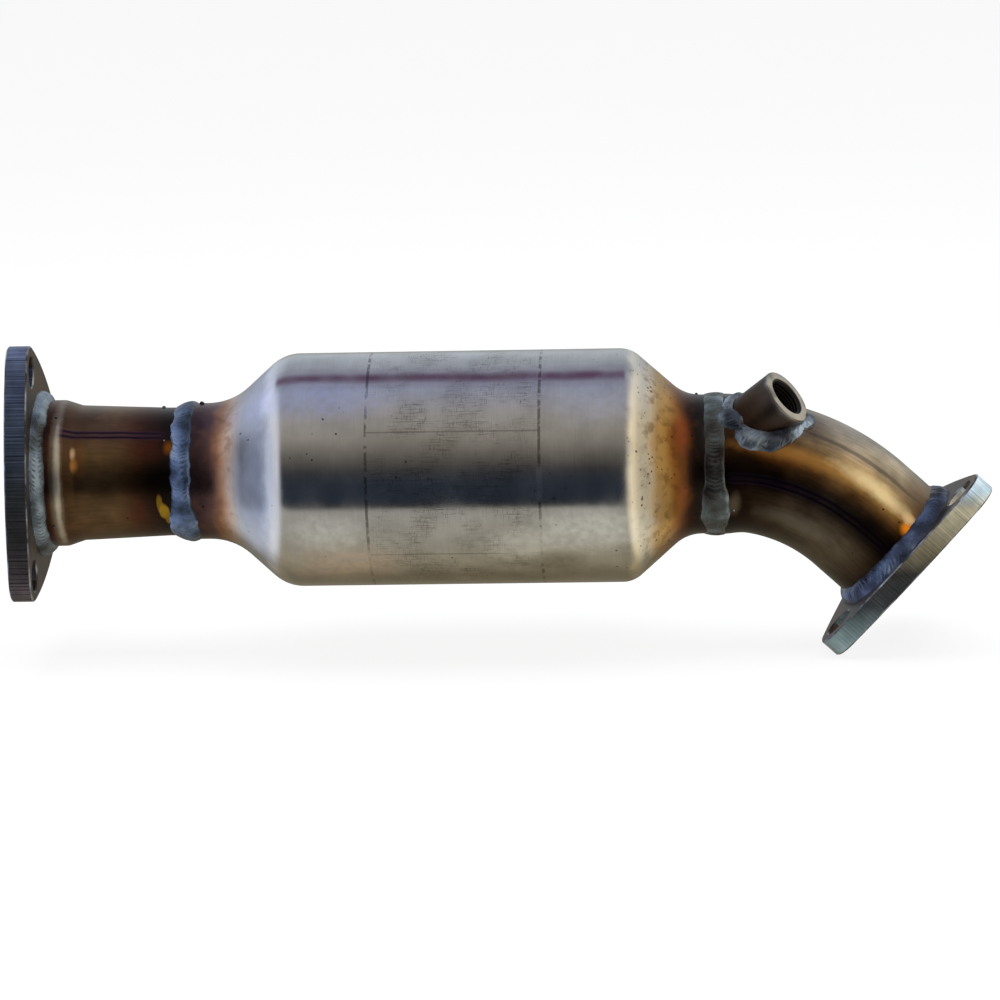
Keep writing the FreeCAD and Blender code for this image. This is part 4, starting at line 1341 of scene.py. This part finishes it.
def tent_cloth():
    """Studio tent round the part: pale overhead and below, with a dark band in front."""
    material, tree, _ = new_finish("TentCloth")
    solid = add(tree, "TexCoord", out="Object")
    parts = add(tree, "SeparateXYZ", {0: solid}).node
    ahead = add(tree, "Math", {0: parts.outputs[1], 1: -1.0}, operation="MULTIPLY")
    rise = add(tree, "Math", {0: parts.outputs[2], 1: ahead}, operation="ARCTAN2")
    place = add(tree, "MapRange", {0: rise, 1: -math.pi, 2: math.pi})
    # 0 is level behind, 0.25 straight down, 0.5 level in front and 0.75 straight up
    cloth = add(tree, "ValToRGB", {0: place}, stops=[
        (0.0, "#a6a69f"), (0.05, "#8e897a"), (0.17, "#8f8674"), (0.24, "#aaa392"),
        (0.32, "#b4b1a8"), (0.418, "#bcbbb6"), (0.424, "#32353b"), (0.45, "#303947"),
        (0.5, "#363d48"), (0.525, "#46464a"), (0.56, "#75726e"), (0.61, "#a8a49e"),
        (0.68, "#b4b3b5"), (0.76, "#b4b8c6"), (0.86, "#b8bec6"), (0.95, "#cdd4db"),
        (1.0, "#a6a69f"),
    ])
    distance = add(tree, "VectorMath", {0: solid}, out="Value", operation="LENGTH")
    side = add(tree, "Math", {0: parts.outputs[0], 1: distance}, operation="DIVIDE")
    # towards both ends the cloth is first white and then dimmer
    for first, last, code in (
        (0.5, 0.66, "#fffaea"), (-0.5, -0.66, "#f0f4ff"), (0.72, 0.92, "#d8cfbc"),
        (-0.72, -0.92, "#b4c0d8"),
    ):
        share = add(tree, "MapRange", {0: side, 1: first, 2: last, 4: 0.95})
        cloth = add(
            tree, "Mix", {"Factor": share, 6: cloth, 7: linear(code)}, out=2, data_type="RGBA"
        )
    glow = add(tree, "Emission", {"Color": cloth, "Strength": 1.0})
    fill(tree.nodes["Material Output"], {"Surface": glow})
    return material


def add_prop(name, mesh, material, *rays):
    """Stand a bmesh on the stage, out of sight of these kinds of ray."""
    prop = link_object(name, mesh)
    prop.data.materials.append(material)
    for ray in rays:
        setattr(prop, "visible_" + ray, False)


def add_camera(distance, frame_width, yaw, rise, roll, middle):
    """A camera this far from the middle of its frame, turned and raised from straight ahead."""
    look = Vector((
        -math.sin(yaw) * math.cos(rise), math.cos(yaw) * math.cos(rise), -math.sin(rise)
    ))
    level = Vector((math.cos(yaw), math.sin(yaw), 0))
    upright = level.cross(look)
    right = level * math.cos(roll) - upright * math.sin(roll)
    up = upright * math.cos(roll) + level * math.sin(roll)
    # the part stands a little above the middle of the frame
    aim = middle - up * 14.94 * MM
    camera = bpy.data.cameras.new("Camera")
    camera.sensor_width = 36
    camera.lens = camera.sensor_width * distance / frame_width
    holder = bpy.data.objects.new("Camera", camera)
    bpy.context.scene.collection.objects.link(holder)
    turn = Matrix((right, up, -look)).transposed().to_4x4()
    holder.matrix_world = Matrix.Translation(aim - look * distance) @ turn
    bpy.context.scene.camera = holder


class BuildStage(bpy.types.Operator):
    """Set up the floor, the tent, the lamps and the camera"""

    bl_idname = "converter.stage"
    bl_label = "Stage"

    def execute(self, context):
        finish = getattr(context.scene, FINISH)
        floor = bmesh.new()
        bmesh.ops.create_grid(floor, x_segments=1, y_segments=1, size=6)
        low = CAD_BOX[0][2] - 0.2 * MM
        bmesh.ops.translate(floor, vec=(0, 0, low), verts=floor.verts)
        add_prop("floor", floor, pale_floor(finish), "glossy")
        middle = (0.2, 0, 0)
        tent = bmesh.new()
        bmesh.ops.create_icosphere(tent, subdivisions=4, radius=4)
        bmesh.ops.translate(tent, vec=middle, verts=tent.verts)
        add_prop("tent", tent, tent_cloth(), "camera", "diffuse", "shadow", "transmission")
        add_lamp("overhead", finish.lamp_power, (1.6, 1.2), (0.2, 0.1, 1.4), middle, "#f4f7ff")
        add_lamp("front_fill", 7, (1.6, 0.8), (0.1, -1.5, 0.9), middle, "#fff8ee")
        world = bpy.data.worlds.new("Room")
        context.scene.world = world
        world.use_nodes = True
        tree = world.node_tree
        strength = add(tree, "MapRange", {0: backdrop_rays(tree), 3: finish.room})
        fill(tree.nodes["Background"], {"Color": linear("#ffffff"), "Strength": strength})
        add_camera(
            distance=1.8, frame_width=0.45, yaw=math.radians(3.2), rise=math.radians(12),
            roll=math.radians(1.45), middle=Vector((217.3 * MM, 0, 0)),
        )
        context.scene.view_settings.view_transform = "Standard"
        return {"FINISHED"}


BUILDERS = (
    BuildStage, BuildShell, BuildInletPipe, BuildElbow, BuildFlanges, BuildFlangeWelds,
    BuildNeckWelds, BuildBoss, BuildSpatter, DressCore,
)


class ConverterPanel(bpy.types.Panel):
    """Lists the converter's pieces, sizes and colours"""

    bl_idname = "VIEW3D_PT_converter"
    bl_label = "Catalytic Converter"
    bl_space_type = "VIEW_3D"
    bl_region_type = "UI"
    bl_category = "Converter"

    def draw(self, context):
        layout = self.layout
        for builder in BUILDERS:
            layout.operator(builder.bl_idname)
        for group in (SIZES, FINISH):
            values = getattr(context.scene, group)
            for name in values.__annotations__:
                layout.prop(values, name)


CLASSES = (ConverterSizes, ConverterFinish, *BUILDERS, ConverterPanel)


def register():
    for entry in CLASSES:
        bpy.utils.register_class(entry)
    setattr(bpy.types.Scene, SIZES, bpy.props.PointerProperty(type=ConverterSizes))
    setattr(bpy.types.Scene, FINISH, bpy.props.PointerProperty(type=ConverterFinish))


def unregister():
    delattr(bpy.types.Scene, FINISH)
    delattr(bpy.types.Scene, SIZES)
    for entry in reversed(CLASSES):
        bpy.utils.unregister_class(entry)


def main():
    register()
    for builder in BUILDERS:
        group, name = builder.bl_idname.split(".")
        getattr(getattr(bpy.ops, group), name)()


if __name__ == "__main__":
    main()
